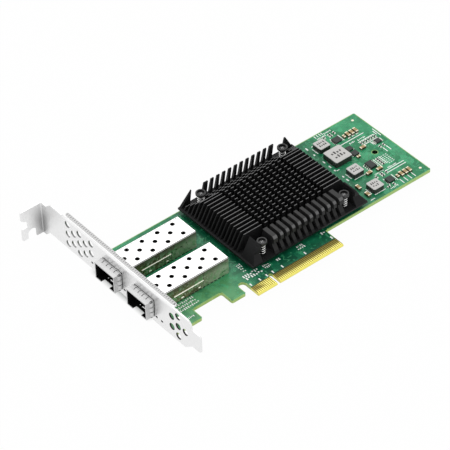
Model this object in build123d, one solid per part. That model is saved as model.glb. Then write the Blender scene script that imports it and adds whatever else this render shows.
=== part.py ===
from build123d import *
import math
import os

# Two-port network card on its full-height bracket.
# Millimetres. +X runs from the bracket to the far end of the board, +Y from the contacts'
# edge to the opposite long edge, +Z out of the component side. The origin is the centre of
# the key notch, on the contacts' bottom edge, at half the board's thickness.

# Board
BOARD_T = 1.57
TOP = BOARD_T / 2
UNDER = -BOARD_T / 2
BOARD_RIGHT = 105.9
BOARD_FAR = 68.9
BOARD_LEFT = -56.2
SHELF_Y = 12.8
BETWEEN_TABS_Y = 12.2
BRACKET_TAB_Y = 4.8
BRACKET_TAB_RIGHT = -41.4
HOOK_Y = 4.3
HOOK_LEFT = -24.5
HOOK_RIGHT = -16.15
SLOT_RIGHT = -12.15
SLOT_TOP = 11.5
CORNER_R = 1.0
SLOT_ROUND = 0.98
CONTACT_END = 39.15
NOTCH_W = 1.9
NOTCH_TOP = 7.3
BEVEL = 0.45
FREE_HOLE = (94.0, 40.0)
FREE_HOLE_D = 2.8

# Edge contacts, the same on both faces
CONTACT_PITCH = 1.0
CONTACT_W = 0.7
CONTACT_LOW = 0.7
CONTACT_HIGH = 5.5
CONTACT_T = 0.05
FIRST_CONTACT = 1.5
CONTACTS_LEFT = 11
CONTACTS_RIGHT = 38

# Bracket
SHEET = 0.86
FACE_X = -57.15
INNER_X = FACE_X + SHEET
PLATE_LOW = -2.65
PLATE_HIGH = 15.77
PLATE_MID = (PLATE_LOW + PLATE_HIGH) / 2
FOLD_Y = 106.5
TAB_DROP = 3.17
TAB_OUT = 11.95
FOLD_R = 0.5
TONGUE_TIP = -13.5
TONGUE_W = 10.19
TONGUE_CHAMFER = 0.9
NECK_Y = -7.4
NECK_RUN = 0.4
NECK_STEP = 0.8
SHOULDER_SHARE = 0.96
LOW_SHOULDER_Y = -2.2
UPPER_OFFSET_Y = (97.9, 101.9)
LOWER_OFFSET_Y = (100.0, 103.2)
TAB_CORNER_R = 0.7
TAB_LIP = 0.8
BITE_Z = (2.0, 2.4, 4.2, 5.5, 7.5)
BITE_DEEP = 3.6
BITE_LEAN = 0.3
SCREW_SLOT_X = -63.3
SCREW_SLOT_Z = -2.5
SCREW_SLOT_W = 5.0
FLANGE_OUT = 3.4
FLANGE_Y = (6.5, 89.3)
FLANGE_END_R = 1.5
VENT_D = 3.8
VENT_SIDES = 12
VENT_PITCH = 6.0
VENT_SHIFT = 0.2
HALF_VENT_Z = (3.5, 9.8)
VENT_COLUMNS = (85.0, 76.0, 67.0, 2.6)
VENT_COUNTS = (3, 3, 2, 3)
HALF_COLUMNS = (80.5, 71.5, 7.2)
SINGLE_VENT = (-2.5, 6.8)
LAMP_WINDOW = (1.4, 1.1)
LAMP_Z = 1.2
LAMP_BODY = (1.85, 1.2, 1.1)
LAMP_GAP = 0.15
LAMP_Y = (66.8, 62.9, 42.3, 38.4, 18.6, 14.7)
PORT_GAP = 0.3
BOARD_TAB_Y = (9.0, 62.6)
BOARD_TAB_W = 7.4
BOARD_TAB_X = -46.5
BOARD_SCREW_X = -50.6
BOARD_SCREW_D = 3.0
BOARD_SCREW_HEAD_D = 5.4
BOARD_SCREW_HEAD_H = 1.7
BOARD_SCREW_CHAMFER = 0.5
BOARD_SCREW_SLACK = 0.3
GASKET_X = (-55.9, -53.8)
GASKET_Y = (7.2, 88.4)
GASKET_EDGE = 0.15
GASKET_CREST = 0.55
GASKET_END_R = 1.0

# Port cages
PORT_Y = (27.115, 50.815)
MOUTH_X = -61.97
CAGE_REAR = -13.55
CAGE_W = 14.15
CAGE_H = 9.8
CAGE_WALL = 0.35
CAGE_TOP = TOP + CAGE_H
CAGE_EDGE_R = 0.5
BEAD_X = (-46.0, -28.5)
BEAD_Z = 5.4
BEAD_W = 0.3
BEAD_OUT = 0.12
SEAM_W = 0.25
SEAM_DEEP = 0.15
BOSS_X = -20.5
BOSS_D = 3.4
VENT_ROW_Y = 4.05
CAGE_HOLE_D = 1.8
CAGE_HOLE_SIDES = 10
CAGE_HOLE_PITCH = 9.0
OUTER_ROW_X = -45.7
MIDDLE_ROW_X = -50.2
ROW_HOLES = 4
PIN_SLOT = (1.0, 0.6)
PIN_W = 0.7
PIN_DROP = 0.9
FLOOR_GAP = 0.05
FLOOR_Z = TOP + 0.45
FLOOR_END = -33.0
MOUTH_NOTCH_END = -59.7
MOUTH_NOTCH_W = 6.4
MOUTH_NOTCH_R = 0.7
SLIT_END = -48.0
SLIT_Y = 2.6
SLIT_W = 0.6
LATCH_HOLE_X = (-58.2, -55.8)
LATCH_HOLE_W = 2.8
COLLAR_END = -59.8
COLLAR_T = 0.18
FINGER_END = -57.5
FINGER_PITCH = 2.9
FINGER_W = 2.5
FINGER_BULGE = 0.75
TOP_FINGERS = 5
SIDE_FINGERS = 3
SOCKET_X = (-32.0, -17.0)
SOCKET_W = 11.2
SOCKET_H = 6.2
SOCKET_SLOT_W = 9.2
SOCKET_SLOT_H = 1.6
SOCKET_SLOT_Z = 3.6
SOCKET_SLOT_DEEP = 7.0
SOCKET_NOSE = 0.6
BLADE_PITCH = 0.8
BLADES = 10
BLADE_SET_BACK = 2.0
BLADE_W = 0.4
BLADE_T = 0.4

# Heat sink: an extruded profile, cut across into pins
SINK_X = (-5.3, 65.2)
SINK_Y = (12.6, 68.0)
SINK_UNDER = 3.3
SINK_FLOOR = 4.25
FIN_TOP = 12.6
FIN_ROOT_T = 0.85
FIN_TIP_T = 0.5
FIN_SUNK = 0.1
FIN_PITCH = 2.42
FIRST_FIN = 25.65
FULL_FINS = 13
SHORT_FIN_TOPS = (11.7, 9.7, 7.9, 6.1)
WING_TOP = 13.6
WING_INNER = 22.0
WING_OUTER = 13.9
WING_UNDERCUT = 15.2
UNDERCUT_Z = (8.3, 9.9)
WING_SHOULDER_R = 1.8
WING_EASE = 0.4
FAR_FOOT = (66.5, 68.0)
FAR_TIP = (65.0, 65.7)
END_FOOT = 0.9
END_SLOPE = 0.563
CUT_W = 1.9
CUT_PITCH = 3.6
FIRST_CUT = 11.05
CUTS = 11
POCKET_X = ((1.0, 8.6), (51.4, 58.3))
POCKET_FAR_Y = 58.4
SINK_SCREWS = tuple((x, y) for x in (4.3, 54.5) for y in (17.3, 62.2))
SHANK_D = 2.0
SINK_HOLE_D = 2.6
PLAIN_SIDES = 8
HEAD_SIDES = 12
HEAD_D = 5.3
HEAD_Z = (10.0, 12.3)
HEAD_CHAMFER = 1.0
RECESS_D = 3.4
RECESS_DEEP = 0.9
SPRING_D = 3.5
SPRING_BORE = 2.4
NUT_D = 4.6
NUT_H = 1.3
SCREW_TAIL = 0.3

# Controller under the heat sink
CHIP_CENTRE = (30.0, 40.0)
CHIP_SIDE = 25.0
CHIP_H = 1.3
LID_SIDE = 19.0
LID_H = 0.85
LID_CHAMFER = 0.15
PAD_SIDE = 18.0

# Power parts at the far end: (x, y) centres
LARGE_COIL = (77.2, 48.0)
LARGE_COIL_SIDE = 10.2
LARGE_COIL_H = 3.4
SMALL_COILS = ((76.6, 59.2), (76.6, 34.7), (76.6, 20.2))
SMALL_COIL_SIDE = 6.5
SMALL_COIL_H = 2.7
COIL_CORNER = 0.5
COIL_TOP_CHAMFER = 0.2
TERMINAL_T = 0.15
TERMINAL_W = 2.2
TERMINAL_H = 1.1
POWER_CHIPS = (
    (85.8, 58.6, 4.0, 3.8),
    (86.0, 49.6, 3.1, 2.9),
    (86.0, 45.4, 3.1, 3.2),
    (85.8, 19.9, 3.6, 3.7),
)
POWER_CHIP_H = 0.9
EIGHT_LEAD = (85.8, 33.7)
EIGHT_LEAD_BODY = (3.9, 4.9, 1.5)
EIGHT_LEAD_PITCH = 1.27
EIGHT_LEAD_W = 0.42
SMALL_LEADED = (100.4, 45.2)
SMALL_LEADED_BODY = (3.0, 3.0, 0.95)
SMALL_LEADED_PITCH = 0.65
SMALL_LEADED_W = 0.28
LEADS_A_SIDE = 4
LEAD_T = 0.18
LEAD_OUT = 1.0
LEAD_KNEE = 0.45
CHIP_CHAMFER = 0.25

# Chip capacitors: (x, y, turn in degrees); long ones are 3.2 mm, short ones 2.0 mm
LONG_CAP = (3.2, 1.6, 1.2)
SHORT_CAP = (2.0, 1.25, 1.0)
CAP_END = 0.55
LONG_CAPS = (
    [(x, y, 90) for y in (58.05, 19.15) for x in (92.4, 94.85, 97.3)]
    + [(91.5, 45.9, 0), (81.3, 29.7, 0), (87.15, 28.9, 0)]
    + [(70.5, 25.3, 90), (70.5, 18.6, 90)]
)
SHORT_CAPS = [(90.1, 58.1, 90), (90.1, 19.2, 90), (85.5, 42.2, 0)]

# Chip resistors, 1.6 mm long
RESISTOR = (1.6, 0.8, 0.5)
RESISTOR_END = 0.35
RESISTORS = (
    [(85.8, 64.3, 0), (85.8, 62.8, 0), (82.5, 64.0, 90), (88.6, 63.9, 90)]
    + [(91.3, y, 0) for y in (35.4, 33.9, 32.4, 30.9)]
    + [(x, 49.0, 90) for x in (93.4, 95.1, 96.8, 98.5, 100.2, 101.9)]
    + [(98.7, 41.3, 90), (100.9, 41.3, 90)]
    + [(85.6, 25.9, 0), (85.6, 24.5, 0), (82.3, 25.4, 90), (88.4, 25.2, 90)]
    + [(82.2, 16.6, 0), (85.4, 16.4, 90)]
)

# How far a cutter reaches past what it cuts
OVERRUN = 1.0


def block(x, y, z):
    """Box from its low and high ends on each axis."""
    size = (x[1] - x[0], y[1] - y[0], z[1] - z[0])
    return Pos(x[0], y[0], z[0]) * Box(*size, align=(Align.MIN, Align.MIN, Align.MIN))


def post(centre, diameter, z):
    """Upright cylinder between two heights."""
    base = (Align.CENTER, Align.CENTER, Align.MIN)
    return Pos(centre[0], centre[1], z[0]) * Cylinder(diameter / 2, z[1] - z[0], align=base)


def prism(centre, across, z, sides):
    """Upright post with flat sides, its corners on a circle of the given diameter."""
    face = RegularPolygon(across / 2, sides)
    return extrude(Pos(centre[0], centre[1], z[0]) * face, z[1] - z[0])


def along_x(face, x):
    """Extrudes a face drawn as (y, z) between two x values."""
    plane = Plane(origin=(x[0], 0, 0), x_dir=(0, 1, 0), z_dir=(1, 0, 0))
    return extrude(plane * face, x[1] - x[0])


def along_y(face, y):
    """Extrudes a face drawn as (x, z) between two y values."""
    plane = Plane(origin=(0, y[1], 0), x_dir=(1, 0, 0), z_dir=(0, -1, 0))
    return extrude(plane * face, y[1] - y[0])


def outline(points):
    return make_face(Polyline(*points, close=True))


def strip(low, high):
    """Rectangle from its low corner to its high corner."""
    return outline([low, (high[0], low[1]), high, (low[0], high[1])])


def near(points, face):
    """Corners of a face that lie at the given points."""
    return [
        vertex
        for vertex in face.vertices()
        if any(math.dist((vertex.X, vertex.Y), point) < 0.01 for point in points)
    ]


def spread(pitch, count):
    """Offsets of a centred row."""
    return [pitch * (i - (count - 1) / 2) for i in range(count)]


def cage_pins(port_y):
    """Places of the pins below a cage's two side walls."""
    side = CAGE_W / 2 - CAGE_WALL / 2
    return [
        (MIDDLE_ROW_X + CAGE_HOLE_PITCH * i, port_y + s * side)
        for i in range(ROW_HOLES)
        for s in (-1, 1)
    ]


def board_face():
    slot_r = (SLOT_RIGHT - HOOK_RIGHT) / 2
    notch = NOTCH_W / 2
    corners = [
        (BOARD_LEFT, BRACKET_TAB_Y),
        (BRACKET_TAB_RIGHT, BRACKET_TAB_Y),
        (BRACKET_TAB_RIGHT, BETWEEN_TABS_Y),
        (HOOK_LEFT, BETWEEN_TABS_Y),
        (HOOK_LEFT, HOOK_Y),
        (HOOK_RIGHT, HOOK_Y),
        (HOOK_RIGHT, SLOT_TOP),
        (SLOT_RIGHT, SLOT_TOP),
        (SLOT_RIGHT, 0),
        (CONTACT_END, 0),
        (CONTACT_END, SHELF_Y),
        (BOARD_RIGHT, SHELF_Y),
        (BOARD_RIGHT, BOARD_FAR),
        (BOARD_LEFT, BOARD_FAR),
    ]
    face = outline(corners)
    face -= strip((-notch, -OVERRUN), (notch, NOTCH_TOP - notch))
    face -= Pos(0, NOTCH_TOP - notch) * Circle(notch)
    round_slot = near([(HOOK_RIGHT, SLOT_TOP), (SLOT_RIGHT, SLOT_TOP)], face)
    face = fillet(round_slot, slot_r * SLOT_ROUND)
    small = [corners[i] for i in (1, 2, 3, 4, 5, 11, 12, 13)]
    return fillet(near(small, face), CORNER_R)


def circuit_board():
    board = extrude(Pos(0, 0, UNDER) * board_face(), BOARD_T)
    cutters = []
    for sign in (1, -1):
        wedge = outline([(0, sign * (TOP - BEVEL)), (BEVEL, sign * TOP), (0, sign * TOP)])
        cutters.append(along_x(wedge, (SLOT_RIGHT, CONTACT_END)))
    through = (UNDER - OVERRUN, TOP + OVERRUN)
    holes = [(place, SINK_HOLE_D) for place in SINK_SCREWS]
    holes += [((BOARD_SCREW_X, y), BOARD_SCREW_D + BOARD_SCREW_SLACK) for y in BOARD_TAB_Y]
    cutters += [prism(place, across, through, PLAIN_SIDES) for place, across in holes]
    slot = extrude(Pos(0, 0, through[0]) * Rectangle(*PIN_SLOT), through[1] - through[0])
    cutters += [Pos(x, y, 0) * slot for port_y in PORT_Y for x, y in cage_pins(port_y)]
    cutters.append(post(FREE_HOLE, FREE_HOLE_D, through))
    return board - cutters


def edge_contacts():
    right = [FIRST_CONTACT + CONTACT_PITCH * i for i in range(CONTACTS_RIGHT)]
    left = [-FIRST_CONTACT - CONTACT_PITCH * i for i in range(CONTACTS_LEFT)]
    pads = []
    for x in left + right:
        span = (x - CONTACT_W / 2, x + CONTACT_W / 2)
        for z in ((TOP, TOP + CONTACT_T), (UNDER - CONTACT_T, UNDER)):
            pads.append(block(span, (CONTACT_LOW, CONTACT_HIGH), z))
    return pads


def plate_face():
    """The bracket's flat plate as (y, z), from the fold to the tongue's tip."""
    low_tongue = PLATE_MID - TONGUE_W / 2
    high_tongue = PLATE_MID + TONGUE_W / 2
    neck = NECK_Y + NECK_RUN
    fold = FOLD_Y - SHEET - FOLD_R
    face = outline([
        (fold, PLATE_LOW - TAB_DROP),
        (fold, PLATE_HIGH - TAB_DROP),
        (UPPER_OFFSET_Y[1], PLATE_HIGH - TAB_DROP),
        (UPPER_OFFSET_Y[0], PLATE_HIGH),
        (neck, PLATE_HIGH),
        (neck, high_tongue + NECK_STEP),
        (NECK_Y, high_tongue),
        (TONGUE_TIP, high_tongue),
        (TONGUE_TIP, low_tongue),
        (NECK_Y, low_tongue),
        (LOW_SHOULDER_Y, PLATE_LOW),
        (LOWER_OFFSET_Y[0], PLATE_LOW),
        (LOWER_OFFSET_Y[1], PLATE_LOW - TAB_DROP),
    ])
    step = PLATE_HIGH - high_tongue - NECK_STEP
    face = fillet(near([(neck, PLATE_HIGH)], face), step * SHOULDER_SHARE)
    tips = [(TONGUE_TIP, high_tongue), (TONGUE_TIP, low_tongue)]
    return chamfer(near(tips, face), TONGUE_CHAMFER)


def vent_places():
    """Centres of the round vents as (y, z), full columns alternating with half columns."""
    places = []
    middle = PLATE_MID + VENT_SHIFT
    for y, count in zip(VENT_COLUMNS, VENT_COUNTS):
        places += [(y, middle + VENT_PITCH * (1 - i)) for i in range(count)]
    places += [(y, z) for y in HALF_COLUMNS for z in HALF_VENT_Z]
    return places + [SINGLE_VENT]


def plate_windows():
    """Round vents, lamp windows and the two port windows, as faces on (y, z)."""
    faces = [Pos(y, z) * RegularPolygon(VENT_D / 2, VENT_SIDES) for y, z in vent_places()]
    faces += [Pos(y, LAMP_Z) * Rectangle(*LAMP_WINDOW) for y in LAMP_Y]
    half = CAGE_W / 2 + PORT_GAP
    for y in PORT_Y:
        faces.append(strip((y - half, TOP - PORT_GAP), (y + half, CAGE_TOP + PORT_GAP)))
    return faces


def quarter(centre, sign_u, sign_v):
    """Quarter of a bend: the sheet's thickness between two arcs round one centre."""
    outer = FOLD_R + SHEET
    corner = (centre[0] + sign_u * outer, centre[1] + sign_v * outer)
    low = (min(centre[0], corner[0]), min(centre[1], corner[1]))
    high = (max(centre[0], corner[0]), max(centre[1], corner[1]))
    return Pos(*centre) * (Circle(outer) - Circle(FOLD_R)) & strip(low, high)


def screw_tab():
    """The fold and the tab beyond it, with the bite in its outer edge and the screw slot."""
    top = PLATE_HIGH - TAB_DROP
    low = PLATE_LOW - TAB_DROP
    outer = FACE_X - TAB_OUT
    bend = FACE_X - FOLD_R
    deep = outer + BITE_DEEP
    slot = (SCREW_SLOT_X - SCREW_SLOT_W / 2, SCREW_SLOT_X + SCREW_SLOT_W / 2)
    tab = outline([
        (bend, top),
        (outer, top),
        (outer, BITE_Z[4]),
        (deep - BITE_LEAN, BITE_Z[3]),
        (deep, BITE_Z[2]),
        (deep, BITE_Z[1]),
        (outer, BITE_Z[0]),
        (outer, low + TAB_LIP),
        (slot[0], low + TAB_LIP),
        (slot[0], low),
        (bend, low),
    ])
    tab -= strip((slot[0], low - OVERRUN), (slot[1], SCREW_SLOT_Z))
    tab -= Pos(SCREW_SLOT_X, SCREW_SLOT_Z) * Circle(SCREW_SLOT_W / 2)
    rounded = [(outer, z) for z in (top, low + TAB_LIP, BITE_Z[4], BITE_Z[0])]
    tab = fillet(near(rounded, tab), TAB_CORNER_R)
    flat = along_y(tab, (FOLD_Y - SHEET, FOLD_Y))
    centre = (bend, FOLD_Y - SHEET - FOLD_R)
    return flat + extrude(Pos(0, 0, low) * quarter(centre, 1, 1), top - low)


def flange():
    """Narrow flange along the plate's upper long edge, turned towards the board."""
    centre = (INNER_X + FOLD_R, PLATE_HIGH - SHEET - FOLD_R)
    end = FACE_X + FLANGE_OUT
    section = strip((centre[0], PLATE_HIGH - SHEET), (end, PLATE_HIGH))
    made = along_y(section + quarter(centre, -1, 1), FLANGE_Y)
    return fillet(made.edges().filter_by(Axis.Z).group_by(Axis.X)[-1], FLANGE_END_R)


def board_tabs():
    """Two ears turned in under the board, each with a screw hole."""
    ears = []
    for y in BOARD_TAB_Y:
        span = (y - BOARD_TAB_W / 2, y + BOARD_TAB_W / 2)
        ear = block((FACE_X + SHEET / 2, BOARD_TAB_X), span, (UNDER - SHEET, UNDER))
        ear = chamfer(ear.edges().filter_by(Axis.Z).group_by(Axis.X)[-1], CORNER_R)
        through = (UNDER - SHEET - OVERRUN, UNDER + OVERRUN)
        ears.append(ear - prism((BOARD_SCREW_X, y), BOARD_SCREW_D, through, PLAIN_SIDES))
    return ears


def bracket():
    face = plate_face() - plate_windows()
    plate = along_x(face, (FACE_X, INNER_X))
    edge = block(
        (FACE_X - OVERRUN, INNER_X + OVERRUN), FLANGE_Y, (PLATE_HIGH - SHEET - FOLD_R, PLATE_HIGH + OVERRUN)
    )
    return (plate - edge) + screw_tab() + flange() + board_tabs()


def bracket_gasket():
    """Soft strip with an arched top and round ends, lying on the flange."""
    x = GASKET_X
    middle = (x[0] + x[1]) / 2
    edge = PLATE_HIGH + GASKET_EDGE
    arch = ThreePointArc((x[1], edge), (middle, PLATE_HIGH + GASKET_CREST), (x[0], edge))
    foot = Polyline(arch @ 1, (x[0], PLATE_HIGH), (x[1], PLATE_HIGH), arch @ 0)
    plan = Pos(middle, sum(GASKET_Y) / 2) * Rectangle(x[1] - x[0], GASKET_Y[1] - GASKET_Y[0])
    plan = fillet(plan.vertices(), GASKET_END_R)
    round_ended = extrude(Pos(0, 0, PLATE_HIGH) * plan, GASKET_CREST)
    return along_y(make_face([arch, foot]), GASKET_Y) & round_ended


def bracket_screws():
    """Pan heads on the board, shanks through the board and the bracket's ears."""
    screws = []
    for y in BOARD_TAB_Y:
        place = (BOARD_SCREW_X, y)
        high = TOP + BOARD_SCREW_HEAD_H
        head = prism(place, BOARD_SCREW_HEAD_D, (TOP, high), HEAD_SIDES)
        head = chamfer(head.edges().group_by(Axis.Z)[-1], BOARD_SCREW_CHAMFER)
        low = UNDER - SHEET - SCREW_TAIL
        screws.append(head + prism(place, BOARD_SCREW_D, (low, TOP), PLAIN_SIDES))
    return screws


def cage_side(port_y, sign):
    """Bead and boss pressed out of one side wall, and the groove of its seam."""
    face = port_y + sign * CAGE_W / 2
    out = sorted((face - sign * CAGE_WALL / 2, face + sign * BEAD_OUT))
    bead = block(BEAD_X, out, (BEAD_Z - BEAD_W / 2, BEAD_Z + BEAD_W / 2))
    boss = along_y(Pos(BOSS_X, BEAD_Z) * RegularPolygon(BOSS_D / 2, PLAIN_SIDES), out)
    groove = sorted((face - sign * SEAM_DEEP, face + sign * OVERRUN))
    seam = block((BEAD_X[1], BEAD_X[1] + SEAM_W), groove, (TOP - OVERRUN, CAGE_TOP - CAGE_EDGE_R))
    return bead + boss, seam


def port_cage(port_y):
    """Folded sheet cover: roof with round holes, two side walls, rear wall, pins below."""
    half = CAGE_W / 2
    wall = CAGE_WALL
    cover = block((MOUTH_X, CAGE_REAR), (port_y - half, port_y + half), (TOP, CAGE_TOP))
    cover = fillet(cover.edges().filter_by(Axis.X).group_by(Axis.Z)[-1], CAGE_EDGE_R)
    inside = (port_y - half + wall, port_y + half - wall)
    cover -= block((MOUTH_X - OVERRUN, CAGE_REAR - wall), inside, (TOP - OVERRUN, CAGE_TOP - wall))
    rows = [(OUTER_ROW_X, -VENT_ROW_Y), (MIDDLE_ROW_X, 0), (OUTER_ROW_X, VENT_ROW_Y)]
    for x, y in rows:
        for i in range(ROW_HOLES):
            place = (x + CAGE_HOLE_PITCH * i, port_y + y)
            through = (CAGE_TOP - 2 * wall, CAGE_TOP + OVERRUN)
            cover -= prism(place, CAGE_HOLE_D, through, CAGE_HOLE_SIDES)
    cover -= block(
        (MOUTH_X - OVERRUN, FACE_X), (port_y - CAGE_W, port_y + CAGE_W), (TOP - OVERRUN, FLOOR_Z)
    )
    for sign in (-1, 1):
        pressed, seam = cage_side(port_y, sign)
        cover = cover - seam + pressed
    for x, y in cage_pins(port_y):
        span = (y - wall / 2, y + wall / 2)
        cover += block((x - PIN_W / 2, x + PIN_W / 2), span, (UNDER - PIN_DROP, TOP))
    return cover


def cage_floor(port_y):
    """Floor sheet with a notch at the mouth, two slits and a three-cornered latch hole."""
    half = CAGE_W / 2 - CAGE_WALL - FLOOR_GAP
    floor = strip((MOUTH_X, port_y - half), (FLOOR_END, port_y + half))
    notch = strip(
        (MOUTH_X - OVERRUN, port_y - MOUTH_NOTCH_W / 2),
        (MOUTH_NOTCH_END, port_y + MOUTH_NOTCH_W / 2),
    )
    floor -= fillet(notch.vertices().group_by(Axis.X)[-1], MOUTH_NOTCH_R)
    for sign in (-1, 1):
        y = port_y + sign * SLIT_Y
        floor -= strip((LATCH_HOLE_X[0], y - SLIT_W / 2), (SLIT_END, y + SLIT_W / 2))
    floor -= outline([
        (LATCH_HOLE_X[0], port_y - LATCH_HOLE_W / 2),
        (LATCH_HOLE_X[0], port_y + LATCH_HOLE_W / 2),
        (LATCH_HOLE_X[1], port_y),
    ])
    return extrude(Pos(0, 0, FLOOR_Z) * floor, CAGE_WALL)


def finger():
    """One spring finger on z = 0: up from the collar's band, then down to the bracket."""
    run = FINGER_END - COLLAR_END
    upper = [(0, COLLAR_T), (run / 2, FINGER_BULGE), (run, COLLAR_T)]
    lower = [(x, z - COLLAR_T) for x, z in reversed(upper)]
    return along_y(outline(upper + lower), (-FINGER_W / 2, FINGER_W / 2))


def spring_collar(port_y):
    """Thin band round the cage mouth with bowed fingers that press on the bracket's window."""
    half = CAGE_W / 2
    z = (FLOOR_Z - COLLAR_T, CAGE_TOP + COLLAR_T)
    band = block((MOUTH_X, COLLAR_END), (port_y - half - COLLAR_T, port_y + half + COLLAR_T), z)
    hollow = (MOUTH_X - OVERRUN, COLLAR_END + OVERRUN)
    band -= block(hollow, (port_y - half, port_y + half), (FLOOR_Z, CAGE_TOP))
    notch = (port_y - MOUTH_NOTCH_W / 2, port_y + MOUTH_NOTCH_W / 2)
    band -= block((MOUTH_X - OVERRUN, MOUTH_NOTCH_END), notch, (TOP - OVERRUN, FLOOR_Z))
    one = finger()
    middle = (FLOOR_Z + CAGE_TOP) / 2
    fingers = []
    for offset in spread(FINGER_PITCH, TOP_FINGERS):
        fingers.append(Pos(COLLAR_END, port_y + offset, CAGE_TOP) * one)
        if abs(offset) - FINGER_W / 2 > MOUTH_NOTCH_W / 2:
            fingers.append(Pos(COLLAR_END, port_y + offset, FLOOR_Z) * Rot(180, 0, 0) * one)
    for offset in spread(FINGER_PITCH, SIDE_FINGERS):
        fingers.append(Pos(COLLAR_END, port_y + half, middle + offset) * Rot(-90, 0, 0) * one)
        fingers.append(Pos(COLLAR_END, port_y - half, middle + offset) * Rot(90, 0, 0) * one)
    return band + fingers


def port_socket(port_y):
    """Dark block at the back of the cage with the slot for a module's tongue."""
    half = SOCKET_W / 2
    body = block(SOCKET_X, (port_y - half, port_y + half), (TOP, TOP + SOCKET_H))
    slot = block(
        (SOCKET_X[0] - OVERRUN, SOCKET_X[0] + SOCKET_SLOT_DEEP),
        (port_y - SOCKET_SLOT_W / 2, port_y + SOCKET_SLOT_W / 2),
        (TOP + SOCKET_SLOT_Z - SOCKET_SLOT_H / 2, TOP + SOCKET_SLOT_Z + SOCKET_SLOT_H / 2),
    )
    nose = body.edges().filter_by(Axis.Y).group_by(Axis.X)[0]
    return chamfer(nose, SOCKET_NOSE) - slot


def socket_contacts():
    """Two rows of contact blades in each socket's slot."""
    blades = []
    z = TOP + SOCKET_SLOT_Z
    reach = SOCKET_SLOT_H / 2
    x = (SOCKET_X[0] + BLADE_SET_BACK, SOCKET_X[0] + SOCKET_SLOT_DEEP)
    for port_y in PORT_Y:
        for offset in spread(BLADE_PITCH, BLADES):
            span = (port_y + offset - BLADE_W / 2, port_y + offset + BLADE_W / 2)
            blades.append(block(x, span, (z + reach - BLADE_T, z + reach)))
            blades.append(block(x, span, (z - reach, z - reach + BLADE_T)))
    return blades


def indicator_lamps():
    """Small blocks on the board, each behind its window in the bracket."""
    long, wide, high = LAMP_BODY
    x = (INNER_X + LAMP_GAP, INNER_X + LAMP_GAP + long)
    return [block(x, (y - wide / 2, y + wide / 2), (TOP, TOP + high)) for y in LAMP_Y]


def near_wing():
    """Thick front wing: flat top, round shoulder, undercut wall and sloping foot."""
    shoulder = WING_SHOULDER_R
    lean = shoulder * (1 - math.sqrt(0.5))
    low = SINK_FLOOR - FIN_SUNK
    arc = ThreePointArc(
        (WING_OUTER + shoulder, WING_TOP),
        (WING_OUTER + lean, WING_TOP - lean),
        (WING_OUTER, WING_TOP - shoulder),
    )
    rest = Polyline(
        arc @ 1,
        (WING_OUTER, UNDERCUT_Z[1]),
        (WING_UNDERCUT, UNDERCUT_Z[1] - WING_EASE),
        (WING_UNDERCUT, UNDERCUT_Z[0]),
        (SINK_Y[0] + WING_EASE, SINK_FLOOR + WING_EASE),
        (SINK_Y[0], low),
        (WING_INNER, low),
        (WING_INNER, WING_TOP),
        arc @ 0,
    )
    return make_face([arc, rest])


def far_wing():
    """Thin back wing that leans inwards and tapers towards its tip."""
    low = SINK_FLOOR - FIN_SUNK
    return outline([
        (FAR_FOOT[0], low),
        (FAR_FOOT[1], low),
        (FAR_TIP[1], WING_TOP),
        (FAR_TIP[0], WING_TOP),
    ])


def fin(y, top):
    """Full-height section of one fin, thinner at its tip."""
    low = SINK_FLOOR - FIN_SUNK
    root, tip = FIN_ROOT_T / 2, FIN_TIP_T / 2
    return outline([(y - root, low), (y + root, low), (y + tip, top), (y - tip, top)])


def sink_profile():
    """The whole extruded section as (y, z): base, full fins, short fins and the two wings."""
    face = strip((SINK_Y[0], SINK_UNDER), (SINK_Y[1], SINK_FLOOR))
    tops = [FIN_TOP] * FULL_FINS + list(SHORT_FIN_TOPS)
    for i, top in enumerate(tops):
        face += fin(FIRST_FIN + FIN_PITCH * i, top)
    return face + near_wing() + far_wing()


def end_cut(x, sign):
    """Sloping cut above the base that trims the fins at one end."""
    foot = x + sign * END_FOOT
    rise = WING_TOP
    return outline([
        (x - sign * OVERRUN, SINK_FLOOR),
        (foot, SINK_FLOOR),
        (foot + sign * END_SLOPE * rise, SINK_FLOOR + rise),
        (x - sign * OVERRUN, SINK_FLOOR + rise),
    ])


def heat_sink():
    sink = along_x(sink_profile(), SINK_X)
    across = (SINK_Y[0] - OVERRUN, SINK_Y[1] + OVERRUN)
    above = (SINK_FLOOR, WING_TOP + OVERRUN)
    cutters = [along_y(end_cut(SINK_X[0], 1), across), along_y(end_cut(SINK_X[1], -1), across)]
    for i in range(CUTS):
        x = FIRST_CUT + CUT_PITCH * i
        cutters.append(block((x, x + CUT_W), across, above))
    for x in POCKET_X:
        cutters.append(block(x, (across[0], WING_INNER + OVERRUN), above))
        cutters.append(block(x, (POCKET_FAR_Y, across[1]), above))
    through = (SINK_UNDER - OVERRUN, WING_TOP)
    cutters += [prism(place, SINK_HOLE_D, through, PLAIN_SIDES) for place in SINK_SCREWS]
    return sink - cutters


def sink_screws():
    """Screws with a cup head, sloped below; the shank reaches through the nut."""
    neck, top = HEAD_Z
    middle = (0, 0)
    shank = prism(middle, SHANK_D, (UNDER - NUT_H - SCREW_TAIL, neck), PLAIN_SIDES)
    cup = prism(middle, HEAD_D, HEAD_Z, HEAD_SIDES)
    cup = chamfer(cup.edges().group_by(Axis.Z)[0], HEAD_CHAMFER)
    recess = prism(middle, RECESS_D, (top - RECESS_DEEP, top + OVERRUN), PLAIN_SIDES)
    one = shank + cup - recess
    return [Pos(x, y, 0) * one for x, y in SINK_SCREWS]


def sink_springs():
    """Sleeve that stands for the coil spring between the heat sink's base and the head."""
    z = (SINK_FLOOR, HEAD_Z[0])
    bore = (z[0] - OVERRUN, z[1] + OVERRUN)
    return [
        prism(place, SPRING_D, z, PLAIN_SIDES) - prism(place, SPRING_BORE, bore, PLAIN_SIDES)
        for place in SINK_SCREWS
    ]


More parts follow.
